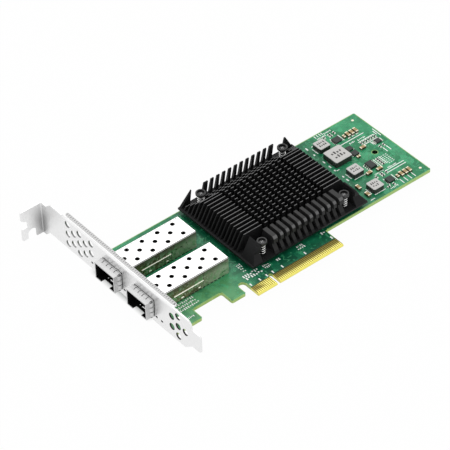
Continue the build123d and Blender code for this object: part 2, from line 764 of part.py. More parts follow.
def sink_nuts():
    nuts = []
    for x, y in SINK_SCREWS:
        hexagon = RegularPolygon(NUT_D / 2, 6) - RegularPolygon(SHANK_D / 2, PLAIN_SIDES)
        nuts.append(extrude(Pos(x, y, UNDER - NUT_H) * hexagon, NUT_H))
    return nuts


def square_block(centre, side, z):
    half = side / 2
    x, y = centre
    return block((x - half, x + half), (y - half, y + half), z)


def controller_chip():
    chip = square_block(CHIP_CENTRE, CHIP_SIDE, (TOP, TOP + CHIP_H))
    lid = square_block(CHIP_CENTRE, LID_SIDE, (TOP + CHIP_H, TOP + CHIP_H + LID_H))
    return chip + chamfer(lid.edges().group_by(Axis.Z)[-1], LID_CHAMFER)


def thermal_pad():
    return square_block(CHIP_CENTRE, PAD_SIDE, (TOP + CHIP_H + LID_H, SINK_UNDER))


def coil_body(centre, side, height):
    """Moulded inductor: square block with bevelled upright corners and a soft top edge."""
    body = square_block(centre, side, (TOP, TOP + height))
    body = chamfer(body.edges().filter_by(Axis.Z), COIL_CORNER)
    return chamfer(body.edges().group_by(Axis.Z)[-1], COIL_TOP_CHAMFER)


def coil_terminals():
    """Flat end plates on the left and right sides of each inductor."""
    coils = [(LARGE_COIL, LARGE_COIL_SIDE)] + [(place, SMALL_COIL_SIDE) for place in SMALL_COILS]
    plates = []
    for (x, y), side in coils:
        width = TERMINAL_W * side / SMALL_COIL_SIDE / 2
        for sign in (-1, 1):
            face = x + sign * side / 2
            span = sorted((face, face + sign * TERMINAL_T))
            plates.append(block(span, (y - width, y + width), (TOP, TOP + TERMINAL_H)))
    return plates


def power_chips():
    chips = []
    for x, y, wide, deep in POWER_CHIPS:
        chips.append(Pos(x, y, TOP + POWER_CHIP_H / 2) * Box(wide, deep, POWER_CHIP_H))
    return chips


def chip_body(centre, size):
    """Moulded chip body, its upper edges drawn in, standing off the board on its leads."""
    wide, deep, high = size
    body = Pos(centre[0], centre[1], TOP + high / 2) * Box(wide, deep, high)
    return chamfer(body.edges().group_by(Axis.Z)[-1], CHIP_CHAMFER)


def chip_leads(centre, size, pitch, width):
    """Gull-wing leads on the left and right sides of a chip body."""
    mid = TOP + size[2] / 2
    t = LEAD_T
    profile = outline([
        (0, mid - t / 2),
        (LEAD_OUT * LEAD_KNEE - t, mid - t / 2),
        (LEAD_OUT * LEAD_KNEE - t / 2, TOP),
        (LEAD_OUT, TOP),
        (LEAD_OUT, TOP + t),
        (LEAD_OUT * LEAD_KNEE + t / 2, TOP + t),
        (LEAD_OUT * LEAD_KNEE, mid + t / 2),
        (0, mid + t / 2),
    ])
    one = along_y(profile, (-width / 2, width / 2))
    leads = []
    for offset in spread(pitch, LEADS_A_SIDE):
        y = centre[1] + offset
        leads.append(Pos(centre[0] + size[0] / 2, y, 0) * one)
        leads.append(Pos(centre[0] - size[0] / 2, y, 0) * Rot(0, 0, 180) * one)
    return leads


def chip_middle(place, size, end):
    """Body of a chip part between its two metal ends."""
    x, y, turn = place
    length, wide, high = size
    one = Box(length - 2 * end, wide, high)
    return Pos(x, y, TOP + high / 2) * Rot(0, 0, turn) * one


def chip_ends(place, size, end):
    x, y, turn = place
    length, wide, high = size
    ends = []
    for sign in (-1, 1):
        one = Pos(sign * (length - end) / 2, 0, 0) * Box(end, wide, high)
        ends.append(Pos(x, y, TOP + high / 2) * Rot(0, 0, turn) * one)
    return ends


def chip_parts(build, places, size, end):
    made = [build(place, size, end) for place in places]
    return [solid for item in made for solid in (item if isinstance(item, list) else [item])]


def save(name, shape):
    if isinstance(shape, list):
        shape = Compound([solid for item in shape for solid in item.solids()])
    export_step(shape, f"parts/{name}.step")


def main():
    os.makedirs("parts", exist_ok=True)
    save("circuit_board", circuit_board())
    save("edge_contacts", edge_contacts())
    save("bracket", bracket())
    save("bracket_gasket", bracket_gasket())
    save("bracket_screws", bracket_screws())
    for side, port_y in zip(("near", "far"), PORT_Y):
        save(f"{side}_port_cage", port_cage(port_y))
        save(f"{side}_cage_floor", cage_floor(port_y))
        save(f"{side}_spring_collar", spring_collar(port_y))
        save(f"{side}_port_socket", port_socket(port_y))
    save("socket_contacts", socket_contacts())
    save("indicator_lamps", indicator_lamps())
    save("heat_sink", heat_sink())
    save("heat_sink_screws", sink_screws())
    save("heat_sink_springs", sink_springs())
    save("heat_sink_nuts", sink_nuts())
    save("controller_chip", controller_chip())
    save("thermal_pad", thermal_pad())
    save("large_inductor", coil_body(LARGE_COIL, LARGE_COIL_SIDE, LARGE_COIL_H))
    coils = [coil_body(place, SMALL_COIL_SIDE, SMALL_COIL_H) for place in SMALL_COILS]
    save("small_inductors", coils)
    save("inductor_terminals", coil_terminals())
    save("power_chips", power_chips())
    save("eight_lead_chip", chip_body(EIGHT_LEAD, EIGHT_LEAD_BODY))
    leads = chip_leads(EIGHT_LEAD, EIGHT_LEAD_BODY, EIGHT_LEAD_PITCH, EIGHT_LEAD_W)
    save("eight_lead_chip_leads", leads)
    save("small_leaded_chip", chip_body(SMALL_LEADED, SMALL_LEADED_BODY))
    leads = chip_leads(SMALL_LEADED, SMALL_LEADED_BODY, SMALL_LEADED_PITCH, SMALL_LEADED_W)
    save("small_leaded_chip_leads", leads)
    bodies = chip_parts(chip_middle, LONG_CAPS, LONG_CAP, CAP_END)
    bodies += chip_parts(chip_middle, SHORT_CAPS, SHORT_CAP, CAP_END)
    save("capacitor_bodies", bodies)
    ends = chip_parts(chip_ends, LONG_CAPS, LONG_CAP, CAP_END)
    ends += chip_parts(chip_ends, SHORT_CAPS, SHORT_CAP, CAP_END)
    save("capacitor_ends", ends)
    save("resistor_bodies", chip_parts(chip_middle, RESISTORS, RESISTOR, RESISTOR_END))
    save("resistor_ends", chip_parts(chip_ends, RESISTORS, RESISTOR, RESISTOR_END))


main()
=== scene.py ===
# %% [markdown]
# # A two-port network card, dressed in Blender
# The solids of this card come from a CAD program. They are loaded here as they are, and this
# lesson gives them their finishes, adds the small things a CAD file leaves out (coil springs,
# copper tracks, white print, solder) and lights them like a product photograph.
# The card lies with its solder side down. +X runs away from the bracket, +Y away from the
# edge contacts, +Z out of the component side. Blender works in metres, so MM turns millimetres
# into Blender's unit.

# %% Load the CAD solids
import math
import random

import bmesh
import bpy
from mathutils import Matrix, Vector


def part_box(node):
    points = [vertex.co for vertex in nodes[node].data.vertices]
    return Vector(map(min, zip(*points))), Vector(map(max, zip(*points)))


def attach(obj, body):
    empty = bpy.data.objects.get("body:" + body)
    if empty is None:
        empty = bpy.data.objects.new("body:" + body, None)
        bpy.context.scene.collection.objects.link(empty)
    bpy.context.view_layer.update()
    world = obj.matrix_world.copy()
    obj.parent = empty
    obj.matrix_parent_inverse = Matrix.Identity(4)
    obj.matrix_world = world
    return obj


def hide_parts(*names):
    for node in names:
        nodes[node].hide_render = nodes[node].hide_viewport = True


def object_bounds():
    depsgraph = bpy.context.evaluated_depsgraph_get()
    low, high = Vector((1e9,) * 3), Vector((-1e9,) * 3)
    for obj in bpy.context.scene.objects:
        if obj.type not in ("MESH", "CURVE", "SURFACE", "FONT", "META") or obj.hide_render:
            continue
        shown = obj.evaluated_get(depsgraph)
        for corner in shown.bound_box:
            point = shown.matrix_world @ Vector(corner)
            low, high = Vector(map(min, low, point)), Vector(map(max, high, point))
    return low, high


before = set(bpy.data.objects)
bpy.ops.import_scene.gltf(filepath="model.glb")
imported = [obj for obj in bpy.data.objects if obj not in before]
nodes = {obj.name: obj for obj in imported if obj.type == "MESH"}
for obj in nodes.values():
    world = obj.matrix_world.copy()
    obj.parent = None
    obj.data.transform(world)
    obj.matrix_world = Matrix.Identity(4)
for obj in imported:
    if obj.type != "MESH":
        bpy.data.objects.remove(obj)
cad_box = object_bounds()
MM = 0.001
TOP = 0.785 * MM
UNDER = -TOP
PORT_CENTRES = (27.115, 50.815)
FREE_HOLE = (94.0, 40.0)
print("solids:", len(nodes), "box:", cad_box)

# %% [markdown]
# ## The camera
# The photograph was taken with a long lens from above the contacts' corner of the bracket. A
# camera can be set by angles, by a constraint that looks at a point, or by its three axes. The
# axes were solved from points whose real places are known, so they are written straight into
# the camera's matrix. The lens is for a sensor 36 mm wide.

# %% Camera
def new_object(name, data):
    """Puts a mesh, a lamp or a camera into the scene."""
    made = bpy.data.objects.new(name, data)
    bpy.context.scene.collection.objects.link(made)
    return made


right = Vector((0.773392, -0.633228, -0.02979))
up = Vector((0.439936, 0.502295, 0.744417))
back = Vector((-0.456422, -0.588831, 0.667051))
place = Vector((-0.602975, -0.738886, 0.890951))
camera_data = bpy.data.cameras.new("camera")
camera_data.sensor_width = 36
camera_data.lens = 227.04
camera_data.clip_start = 0.05
camera_data.clip_end = 20
camera = new_object("camera", camera_data)
camera.matrix_world = Matrix.Translation(place) @ Matrix((right, up, back)).transposed().to_4x4()
bpy.context.scene.camera = camera
print("camera", round(place.length, 3), "m from the key notch")

# %% [markdown]
# ## Helpers for materials
# Every finish below is a Principled BSDF with a few procedural nodes in front of it. Each node
# could be wired by hand, but the same few moves come back: compare, multiply, mix. So each move
# is a small function. A mask is always a value that is 1 where something shows and 0 elsewhere.

# %% Small node helpers
def material(name, colour, metallic=0.0, roughness=0.5):
    """New material; gives it back with its node tree and its Principled BSDF."""
    made = bpy.data.materials.new(name)
    made.use_nodes = True
    tree = made.node_tree
    shader = tree.nodes["Principled BSDF"]
    shader.inputs["Base Color"].default_value = (*colour, 1)
    shader.inputs["Metallic"].default_value = metallic
    shader.inputs["Roughness"].default_value = roughness
    return made, tree, shader


def feed(socket, value):
    """Sets an input to a number or a colour, or links another node's output to it."""
    if isinstance(value, bpy.types.NodeSocket):
        socket.id_data.links.new(value, socket)
    else:
        socket.default_value = value


def node(tree, kind, **settings):
    """New node. Settings named in_x feed the input x, all others are the node's own."""
    made = tree.nodes.new(kind)
    for key, value in settings.items():
        if key.startswith("in_"):
            feed(made.inputs[key[3:].replace("_", " ")], value)
        else:
            setattr(made, key, value)
    return made


def maths(operation, first, second=0.0):
    """One Math node in its operands' tree; one operand may be a number."""
    socket = first if isinstance(first, bpy.types.NodeSocket) else second
    made = node(socket.id_data, "ShaderNodeMath", operation=operation)
    feed(made.inputs[0], first)
    feed(made.inputs[1], second)
    return made.outputs[0]


def blend(factor, first, second):
    """Mixes two colours; each is a tuple or a socket."""
    made = node(factor.id_data, "ShaderNodeMix", data_type="RGBA")
    feed(made.inputs[0], factor)
    for socket, colour in zip((made.inputs[6], made.inputs[7]), (first, second)):
        feed(socket, (*colour, 1) if isinstance(colour, tuple) else colour)
    return made.outputs[2]


def tint(base, mask, colour, share=1.0):
    """Lays a colour over another where the mask shows it, as strongly as share says."""
    if share < 1.0:
        mask = maths("MULTIPLY", mask, share)
    return blend(mask, base, colour)


def grey(level):
    """A colour without any hue."""
    return (level, level, level)


def paint(shader, colour):
    """Gives a finish its colour."""
    feed(shader.inputs["Base Color"], colour)


print("colour helpers ready")

# %% Masks
def above(value, limit):
    """1 where value is more than a limit."""
    return maths("GREATER_THAN", value, limit)


def below(value, limit):
    """1 where value is less than a limit."""
    return maths("LESS_THAN", value, limit)


def both(*masks):
    """1 only where every mask is 1: their product."""
    made = masks[0]
    for mask in masks[1:]:
        made = maths("MULTIPLY", made, mask)
    return made


def ramp(value, low, high):
    """Rises smoothly from 0 at low to 1 at high."""
    made = node(
        value.id_data, "ShaderNodeMapRange", interpolation_type="SMOOTHSTEP",
        in_Value=value, in_From_Min=low, in_From_Max=high,
    )
    return made.outputs[0]


def within(value, low, high, soft):
    """1 where value lies between low and high, with soft ends."""
    ends = [
        node(value.id_data, "ShaderNodeMapRange", in_Value=value, in_From_Min=start, in_From_Max=stop)
        for start, stop in ((low - soft, low + soft), (high + soft, high - soft))
    ]
    return both(*[end.outputs[0] for end in ends])


def object_spot(tree):
    """Where a point lies on the card."""
    return node(tree, "ShaderNodeTexCoord").outputs["Object"]


def object_axes(tree):
    """The x, y and z of where a point lies on the card."""
    return node(tree, "ShaderNodeSeparateXYZ", in_Vector=object_spot(tree)).outputs


def normal_axes(tree):
    """The x, y and z of the way a face looks."""
    normal = node(tree, "ShaderNodeNewGeometry").outputs["Normal"]
    return node(tree, "ShaderNodeSeparateXYZ", in_Vector=normal).outputs


def normal_z(tree):
    """How far a face looks up: 1 for a roof, 0 for a wall."""
    return normal_axes(tree)[2]


print("mask helpers ready")

# %% [markdown]
# ## Two shared effects
# A stretched grain and soft patches of wear come back in nearly every finish. Written out each
# time they would fill the script, so they are node groups. Both read Object coordinates, so they
# stay on the part wherever it is placed.

# %% The two node groups
def new_group(name, inputs, outputs):
    """Empty node group with its sockets; gives back the group and its two end nodes."""
    group = bpy.data.node_groups.new(name, "ShaderNodeTree")
    for title, kind, value in inputs:
        socket = group.interface.new_socket(title, in_out="INPUT", socket_type=kind)
        socket.default_value = value
    for title, kind in outputs:
        group.interface.new_socket(title, in_out="OUTPUT", socket_type=kind)
    return group, group.nodes.new("NodeGroupInput"), group.nodes.new("NodeGroupOutput")


grain_group, given, result = new_group(
    "stretched grain",
    [("Stretch", "NodeSocketVector", (1, 1, 1)), ("Size", "NodeSocketFloat", 1000.0)],
    [("Value", "NodeSocketFloat")],
)
stretch = node(grain_group, "ShaderNodeVectorMath", operation="MULTIPLY")
feed(stretch.inputs[0], object_spot(grain_group))
feed(stretch.inputs[1], given.outputs["Stretch"])
noise = node(
    grain_group, "ShaderNodeTexNoise", in_Vector=stretch.outputs[0], in_Scale=given.outputs["Size"],
    in_Detail=4.0, in_Roughness=0.6,
)
feed(result.inputs["Value"], noise.outputs[0])

patch_group, given, result = new_group(
    "soft patches",
    [("Size", "NodeSocketFloat", 60.0), ("Low", "NodeSocketFloat", 0.4), ("High", "NodeSocketFloat", 0.7)],
    [("Mask", "NodeSocketFloat")],
)
noise = node(
    patch_group, "ShaderNodeTexNoise", in_Vector=object_spot(patch_group),
    in_Scale=given.outputs["Size"], in_Detail=3.0,
)
spread = node(
    patch_group, "ShaderNodeMapRange", in_Value=noise.outputs[0],
    in_From_Min=given.outputs["Low"], in_From_Max=given.outputs["High"],
)
feed(result.inputs["Mask"], spread.outputs[0])
print("groups:", grain_group.name, "and", patch_group.name)

# %% Ways to use them
EVEN = (1, 1, 1)


def grain(tree, stretch, size):
    """Fine noise; a small number in stretch draws it out along that axis."""
    made = node(tree, "ShaderNodeGroup", node_tree=grain_group, in_Stretch=stretch, in_Size=size)
    return made.outputs["Value"]


def patches(tree, size, low=0.4, high=0.7):
    """Mask of soft islands; closer limits give them a sharper shore."""
    made = node(
        tree, "ShaderNodeGroup", node_tree=patch_group, in_Size=size, in_Low=low, in_High=high
    )
    return made.outputs["Mask"]


def mottle(base, layers):
    """Lays patches over a colour; a layer is size, low, high, share and colour."""
    for size, low, high, share, colour in layers:
        base = tint(base, patches(base.id_data, size, low, high), colour, share)
    return base


def bump(shader, height, strength, distance):
    """Raises a finish where a value is high."""
    made = node(
        shader.id_data, "ShaderNodeBump", in_Strength=strength, in_Distance=distance, in_Height=height
    )
    feed(shader.inputs["Normal"], made.outputs[0])


def vary_roughness(shader, value, low, high, clamp=True):
    """Spreads a value over a range of roughness."""
    span = node(
        shader.id_data, "ShaderNodeMapRange", clamp=clamp, in_Value=value, in_To_Min=low, in_To_Max=high
    )
    feed(shader.inputs["Roughness"], span.outputs[0])


print("effects ready")

# %% Whole finishes in one call
def roofed(side, roof):
    """One colour on walls and another on the faces that look up and catch the light."""
    return blend(above(normal_z(roof.id_data), 0.6), side, roof)


def rubbed(name, dark, light, metallic, smooth, dull, stretch=EVEN, size=2500.0):
    """Finish whose colour and roughness wander together with one grain."""
    made, tree, shader = material(name, dark, metallic)
    wander = grain(tree, stretch, size)
    paint(shader, blend(wander, dark, light))
    vary_roughness(shader, wander, smooth, dull)
    return made


def speckled(name, dark, light, roughness, size=5000.0, depth=0.25):
    """Matt finish with fine specks that stand up a little."""
    made, tree, shader = material(name, dark, 0.0, roughness)
    dots = grain(tree, EVEN, size)
    paint(shader, blend(dots, dark, light))
    bump(shader, dots, depth, 0.06 * MM)
    return made


print("finish helpers ready")

# %% [markdown]
# ## The board
# A circuit board is a glass and resin laminate with copper tracks, under a green varnish that
# leaves the pads free. The varnish is glossy, the tracks show through it as paler green, and the
# sawn edge is bare yellow-green laminate. An image would show one board only, so the tracks
# are made by nodes: the board is cut into cells, and each cell has its own direction of lines.

# %% Copper under the varnish
BOARD_DARK = (0.002, 0.075, 0.036)
BOARD_DARK_TRACK = (0.008, 0.16, 0.075)
BOARD_PALE = (0.009, 0.21, 0.08)
BOARD_PALE_TRACK = (0.06, 0.43, 0.2)
TRACKS_PER_METRE = 1250
TRACK_SHARE = 0.45

board_finish, tree, shader = material("green board varnish", (0.02, 0.2, 0.09), roughness=0.32)
axes = object_axes(tree)
cells = node(
    tree, "ShaderNodeTexVoronoi", distance="CHEBYCHEV", in_Vector=object_spot(tree), in_Scale=210.0
)
choice = node(tree, "ShaderNodeSeparateXYZ", in_Vector=cells.outputs["Color"])
lines = [
    below(maths("FRACT", maths("MULTIPLY", axis, TRACKS_PER_METRE)), TRACK_SHARE)
    for axis in (axes[0], axes[1])
]
in_x_cell = both(lines[0], below(choice.outputs[0], 0.22))
in_y_cell = both(lines[1], above(choice.outputs[0], 0.8))
poured = maths("MULTIPLY", above(choice.outputs[1], 0.55), 0.4)
copper = maths("MAXIMUM", maths("ADD", in_x_cell, in_y_cell), poured)
print("tracks every", 1000 / TRACKS_PER_METRE, "mm")

# %% Varnish, contact strip and sawn edge
CONTACTS_START, CONTACTS_END, CONTACTS_TOP = -12.2, 39.2, 5.9
LAMINATE_GOLD = (0.93, 0.84, 0.17)
HOLE_REACH = 1.5


def tongue_shade(axes):
    """Dark band across the upper part of the contacts, weaker at the short run's right half."""
    upper = ramp(axes[1], 1.5 * MM, 3.4 * MM)
    slanted = maths("ADD", axes[0], maths("MULTIPLY", axes[1], 0.9))
    left_end = ramp(slanted, -1.5 * MM, -6.0 * MM)
    long_run = above(axes[0], 0.0)
    return both(upper, maths("MAXIMUM", long_run, left_end))


# Painted light and shade: the varnish is darker along the middle of the board and paler towards both ends,
# and paler still in the lit corner by the bracket.
lit_far_end = ramp(axes[0], 60 * MM, 84 * MM)
lit_port_end = ramp(axes[0], -3 * MM, -18 * MM)
shaded_green = blend(copper, BOARD_DARK, BOARD_DARK_TRACK)
lit_green = blend(copper, BOARD_PALE, BOARD_PALE_TRACK)
varnish = blend(maths("MAXIMUM", lit_far_end, lit_port_end), shaded_green, lit_green)
lit_corner = both(ramp(axes[0], -9 * MM, -22 * MM), ramp(axes[1], 24 * MM, 16 * MM))
varnish = tint(varnish, lit_corner, (0.22, 0.46, 0.18), 0.45)
varnish = mottle(varnish, [
    (45.0, 0.4, 0.7, 0.3, BOARD_PALE),
    (280.0, 0.54, 0.62, 0.4, BOARD_DARK_TRACK),
    (420.0, 0.6, 0.66, 0.5, BOARD_PALE_TRACK),
])
tongue = both(
    below(axes[1], CONTACTS_TOP * MM),
    above(axes[0], CONTACTS_START * MM),
    below(axes[0], CONTACTS_END * MM),
)
between = blend(tongue_shade(axes), (0.24, 0.17, 0.012), (0.045, 0.036, 0.005))
between = tint(between, ramp(axes[1], 0.95 * MM, 0.6 * MM), LAMINATE_GOLD)
varnish = tint(varnish, tongue, between)

sawn = blend(patches(tree, 700.0), (0.3, 0.48, 0.1), (0.46, 0.6, 0.2))
sawn = tint(sawn, ramp(axes[0], 40 * MM, 60 * MM), (0.38, 0.56, 0.16))
sawn = tint(sawn, tongue, LAMINATE_GOLD)
# Painted shade: the wall of the free hole is dark.
hole_shade_mask = both(*[
    within(axis, (centre - HOLE_REACH) * MM, (centre + HOLE_REACH) * MM, 0.05 * MM)
    for axis, centre in zip(axes, FREE_HOLE)
])
sawn = tint(sawn, hole_shade_mask, (0.003, 0.015, 0.006))
flat = above(maths("ABSOLUTE", normal_z(tree)), 0.9)
paint(shader, blend(flat, sawn, varnish))
shader.inputs["Specular IOR Level"].default_value = 0.3
shader.inputs["Coat Weight"].default_value = 0.12
shader.inputs["Coat Roughness"].default_value = 0.15
bump(shader, copper, 0.25, 0.03 * MM)
print(board_finish.name, "from", len(tree.nodes), "nodes")

# %% [markdown]
# ## Metals
# Four metals meet on this card: gold on the contacts, bright plated steel on the bracket, thin
# tinned sheet on the cages and tin on every solder joint. They differ in colour and in how sharp
# their reflection is, so each is a metallic Principled BSDF with its own roughness and grain.

# %% Gold contacts
CONTACT_PITCH = 1.0

gold_finish, tree, shader = material("gold plating", (0.85, 0.66, 0.2), 1.0, 0.34)
axes = object_axes(tree)
gold = blend(grain(tree, (1, 0.2, 1), 900.0), (1.0, 0.9, 0.22), (1.0, 0.98, 0.34))
contact = maths("FRACT", maths("DIVIDE", axes[0], CONTACT_PITCH * MM))
flank = above(maths("ABSOLUTE", maths("SUBTRACT", contact, 0.5)), 0.24)
gold = tint(gold, flank, (0.42, 0.31, 0.03))
gold = tint(gold, tongue_shade(axes), (0.17, 0.125, 0.02), 0.85)
paint(shader, gold)
vary_roughness(shader, grain(tree, (1, 0.15, 1), 4000.0), 0.28, 0.42)
print(gold_finish.name, "with darker flanks every", CONTACT_PITCH, "mm")

# %% Plated steel of the bracket
PLATE_FRONT, PLATE_BACK = -57.13, -56.3
FOLD = -57.3

steel_finish, tree, shader = material("plated steel", (0.78, 0.78, 0.77), 0.85, 0.36)
axes = object_axes(tree)
along = grain(tree, (1, 0.04, 1), 2500.0)
sheet = blend(along, grey(0.8), grey(0.92))
# Painted shade: the plate and the tab darken near the fold and towards the bottom.
on_plate = both(ramp(axes[1], 99.0 * MM, 106.0 * MM), above(axes[0], FOLD * MM))
on_tab = both(ramp(axes[0], -67.0 * MM, -57.6 * MM), below(axes[0], FOLD * MM))
painted_bend_shade = both(maths("ADD", on_plate, on_tab), ramp(axes[2], 15 * MM, 1 * MM))
sheet = tint(sheet, painted_bend_shade, grey(0.22), 0.6)
# Painted shade: the cut faces in the plate's thickness, the walls of its holes and windows, are dark, less
# so at the upper vents.
cut = both(
    below(maths("ABSOLUTE", normal_axes(tree)[0]), 0.3),
    within(axes[0], PLATE_FRONT * MM, PLATE_BACK * MM, 0.01 * MM),
    within(axes[2], -1.2 * MM, 14.3 * MM, 0.1 * MM),
    within(axes[1], -5.0 * MM, 88.5 * MM, 0.1 * MM),
)
hole_wall_shade = blend(ramp(axes[1], 55 * MM, 65 * MM), grey(0.03), grey(0.3))
paint(shader, tint(sheet, cut, hole_wall_shade))
vary_roughness(shader, along, 0.3, 0.44)
bump(shader, along, 0.12, 0.04 * MM)
print(steel_finish.name, "brushed along the bracket")

# %% Tinned sheet of the cages, with painted shade inside and a painted reflection on the walls
CAGE_HALF = 6.95
CAGE_ROOF = 10.57
COLLAR_BACK = -57.2
WALLS_START = -56.5


def cage_inside(axes):
    """1 inside either cage, where hardly any light comes back out."""
    across = [
        within(axes[1], (y - CAGE_HALF) * MM, (y + CAGE_HALF) * MM, 0.03 * MM)
        for y in PORT_CENTRES
    ]
    deep = ramp(axes[0], -61.95 * MM, -61.7 * MM)
    return both(below(axes[2], CAGE_ROOF * MM), deep, maths("ADD", *across))


tin_finish, tree, shader = material("tinned sheet", (0.86, 0.86, 0.84), 1.0, 0.2)
axes = object_axes(tree)
cloud = patches(tree, 120.0, 0.3, 0.75)
in_front = below(axes[0], COLLAR_BACK * MM)
behind = both(below(normal_z(tree), 0.3), above(axes[0], WALLS_START * MM))
inside = cage_inside(axes)
tin = blend(cloud, (0.9, 0.9, 0.89), (0.97, 0.97, 0.96))
collar_sheet = blend(grain(tree, (0.06, 1, 1), 2400.0), grey(0.5), grey(0.7))
tin = tint(tin, in_front, collar_sheet)
# Painted reflection: the walls behind the collar take the greens of the board, pale flecks of its print and
# dark patches, as a mirror-like wall would show them.
painted_reflection = blend(ramp(axes[0], -44 * MM, -14 * MM), (0.2, 0.21, 0.09), (0.42, 0.5, 0.36))
reflected_dark_patch = both(patches(tree, 260.0, 0.42, 0.6), ramp(axes[0], -16 * MM, -34 * MM))
painted_reflection = tint(painted_reflection, reflected_dark_patch, (0.07, 0.06, 0.02), 0.7)
painted_reflection = mottle(painted_reflection, [
    (330.0, 0.48, 0.6, 0.8, (0.2, 0.42, 0.2)),
    (900.0, 0.55, 0.62, 0.8, (0.5, 0.55, 0.42)),
    (700.0, 0.62, 0.68, 0.75, (0.02, 0.03, 0.01)),
])
tin = tint(tin, behind, painted_reflection)
# Painted shade: the walls darken towards the roof edge.
shade_under_roof_edge = both(behind, ramp(axes[2], 5.5 * MM, 10.4 * MM))
tin = tint(tin, shade_under_roof_edge, (0.1, 0.09, 0.07), 0.85)
# Painted shade: everything inside the cages is near black.
paint(shader, tint(tin, inside, grey(0.004)))

outside = maths("SUBTRACT", 1.0, inside)
shine = maths("SUBTRACT", 1.0, maths("MULTIPLY", behind, 0.6))
feed(shader.inputs["Metallic"], both(outside, shine))
shader.inputs["Specular IOR Level"].default_value = 0.1
duller = maths("ADD", cloud, maths("MULTIPLY", in_front, 3.0))
vary_roughness(shader, duller, 0.12, 0.22, clamp=False)
bump(shader, grain(tree, (0.1, 1, 1), 1500.0), 0.05, 0.04 * MM)
print(tin_finish.name, "from", len(tree.nodes), "nodes")

# %% Solder, tinned ends, spring wire and beads
solder_finish, tree, shader = material("solder tin", (0.86, 0.85, 0.8), 1.0, 0.3)
lumps = grain(tree, EVEN, 2200.0)
paint(shader, blend(lumps, (0.78, 0.77, 0.72), (0.92, 0.91, 0.87)))
bump(shader, lumps, 0.3, 0.1 * MM)

cream_finish, tree, shader = material("tinned ends", (0.6, 0.56, 0.42), 0.6, 0.4)
lumps = grain(tree, EVEN, 2200.0)
tinned = blend(lumps, (0.74, 0.68, 0.52), (0.92, 0.87, 0.72))
# Painted light and shade: the tinned ends are light on top and dark on their sides.
paint(shader, roofed((0.22, 0.19, 0.12), tinned))
vary_roughness(shader, lumps, 0.3, 0.5)

wire_finish, tree, shader = material("spring wire", (0.85, 0.85, 0.84), 1.0, 0.16)
vary_roughness(shader, grain(tree, EVEN, 3000.0), 0.1, 0.25)
glint_finish = rubbed(
    "polished bead", (0.93, 0.91, 0.78), (1.0, 0.99, 0.9), 1.0, 0.2, 0.32, (0.1, 1, 1), 1800.0
)
print("metals ready")

# %% [markdown]
# ## Black anodised aluminium
# The heat sink is extruded, so its sides carry very fine lines along X. A painted highlight runs
# along the middle of each fin top, and the near wing is painted lighter, with a painted highlight on
# its rounded shoulder. The anodised layer is black and satin. It isn't a metal any more where light
# meets it, so metallic stays at 0.

# %% Heat sink
FIRST_FIN = 25.65
FIN_PITCH = 2.42
WING_BACK = 22.1
SHOULDER_DROP = 1.7

anodised_finish, tree, shader = material("black anodised aluminium", (0.018, 0.018, 0.019), 0.0, 0.4)
axes = object_axes(tree)
drawn = grain(tree, (0.03, 1, 1), 3500.0)
crest = above(normal_z(tree), 0.8)
tips = above(axes[2], 5.5 * MM)
fins = above(axes[1], 23.0 * MM)
# Painted highlight: a bright line along the middle of each fin top.
from_first = maths("SUBTRACT", axes[1], (FIRST_FIN - FIN_PITCH / 2) * MM)
step = maths("FRACT", maths("DIVIDE", from_first, FIN_PITCH * MM))
off_centre = maths("ABSOLUTE", maths("SUBTRACT", step, 0.5))
painted_fin_glint = both(crest, tips, below(off_centre, 0.05), fins)
wing = both(
    below(axes[1], WING_BACK * MM),
    tips,
    within(axes[0], 8.7 * MM, 51.3 * MM, 0.01 * MM),
)
# Painted light on the near wing: lighter than the fins, lighter still on top, with a painted highlight on
# its rounded shoulder.
shoulder = above(axes[2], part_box("heat_sink")[1][2] - SHOULDER_DROP * MM)
highlit_shoulder = both(shoulder, within(normal_z(tree), 0.3, 0.93, 0.05))
black = blend(drawn, grey(0.009), (0.018, 0.018, 0.019))
black = tint(black, wing, grey(0.026))
black = tint(black, both(wing, crest), grey(0.045))
black = tint(black, both(wing, highlit_shoulder), grey(0.13))
paint(shader, tint(black, painted_fin_glint, grey(0.24)))
shader.inputs["Specular IOR Level"].default_value = 0.12
vary_roughness(shader, drawn, 0.34, 0.5)
bump(shader, drawn, 0.15, 0.04 * MM)
print(anodised_finish.name, "with fins every", FIN_PITCH, "mm")

# %% Screws
head_finish = rubbed("blackened screw", grey(0.006), grey(0.02), 0.0, 0.22, 0.4)
# Painted highlight: the cross in each recess is bright metal.
cross_highlight_finish = rubbed("bright screw cross, painted highlight", grey(0.2), grey(0.5), 1.0, 0.35, 0.6)
dull_finish = rubbed("dull screw recess", grey(0.02), grey(0.09), 1.0, 0.25, 0.45)
print(head_finish.name, "with", dull_finish.name)

# %% [markdown]
# ## Moulded and pressed parts
# Chips are moulded in a dark resin full of glass dust, so they are matt and faintly speckled. The
# inductors are pressed from metal powder; their pale tops and dark sides are partly their own colour
# and partly painted light and shade. Ceramic capacitors are tan, with painted shade on their sides.
# With one plain colour each they would look like toys, so a fine noise in colour and bump tells them
# apart.

# %% Chips, inductors and ceramics
chip_finish = speckled("moulded chip resin", (0.011, 0.016, 0.013), (0.028, 0.036, 0.031), 0.5)
plastic_finish = speckled("black moulded plastic", grey(0.003), grey(0.008), 0.6)
resistor_finish = speckled("black glass coat", grey(0.01), (0.035, 0.033, 0.03), 0.3)
pad_finish = speckled("grey thermal pad", (0.3, 0.3, 0.32), (0.42, 0.42, 0.44), 0.8)
lamp_finish = speckled("smoky lamp plastic", (0.01, 0.012, 0.01), (0.03, 0.034, 0.03), 0.2)
under_tan_finish = speckled("brown ceramic", (0.2, 0.13, 0.06), (0.34, 0.24, 0.12), 0.45)

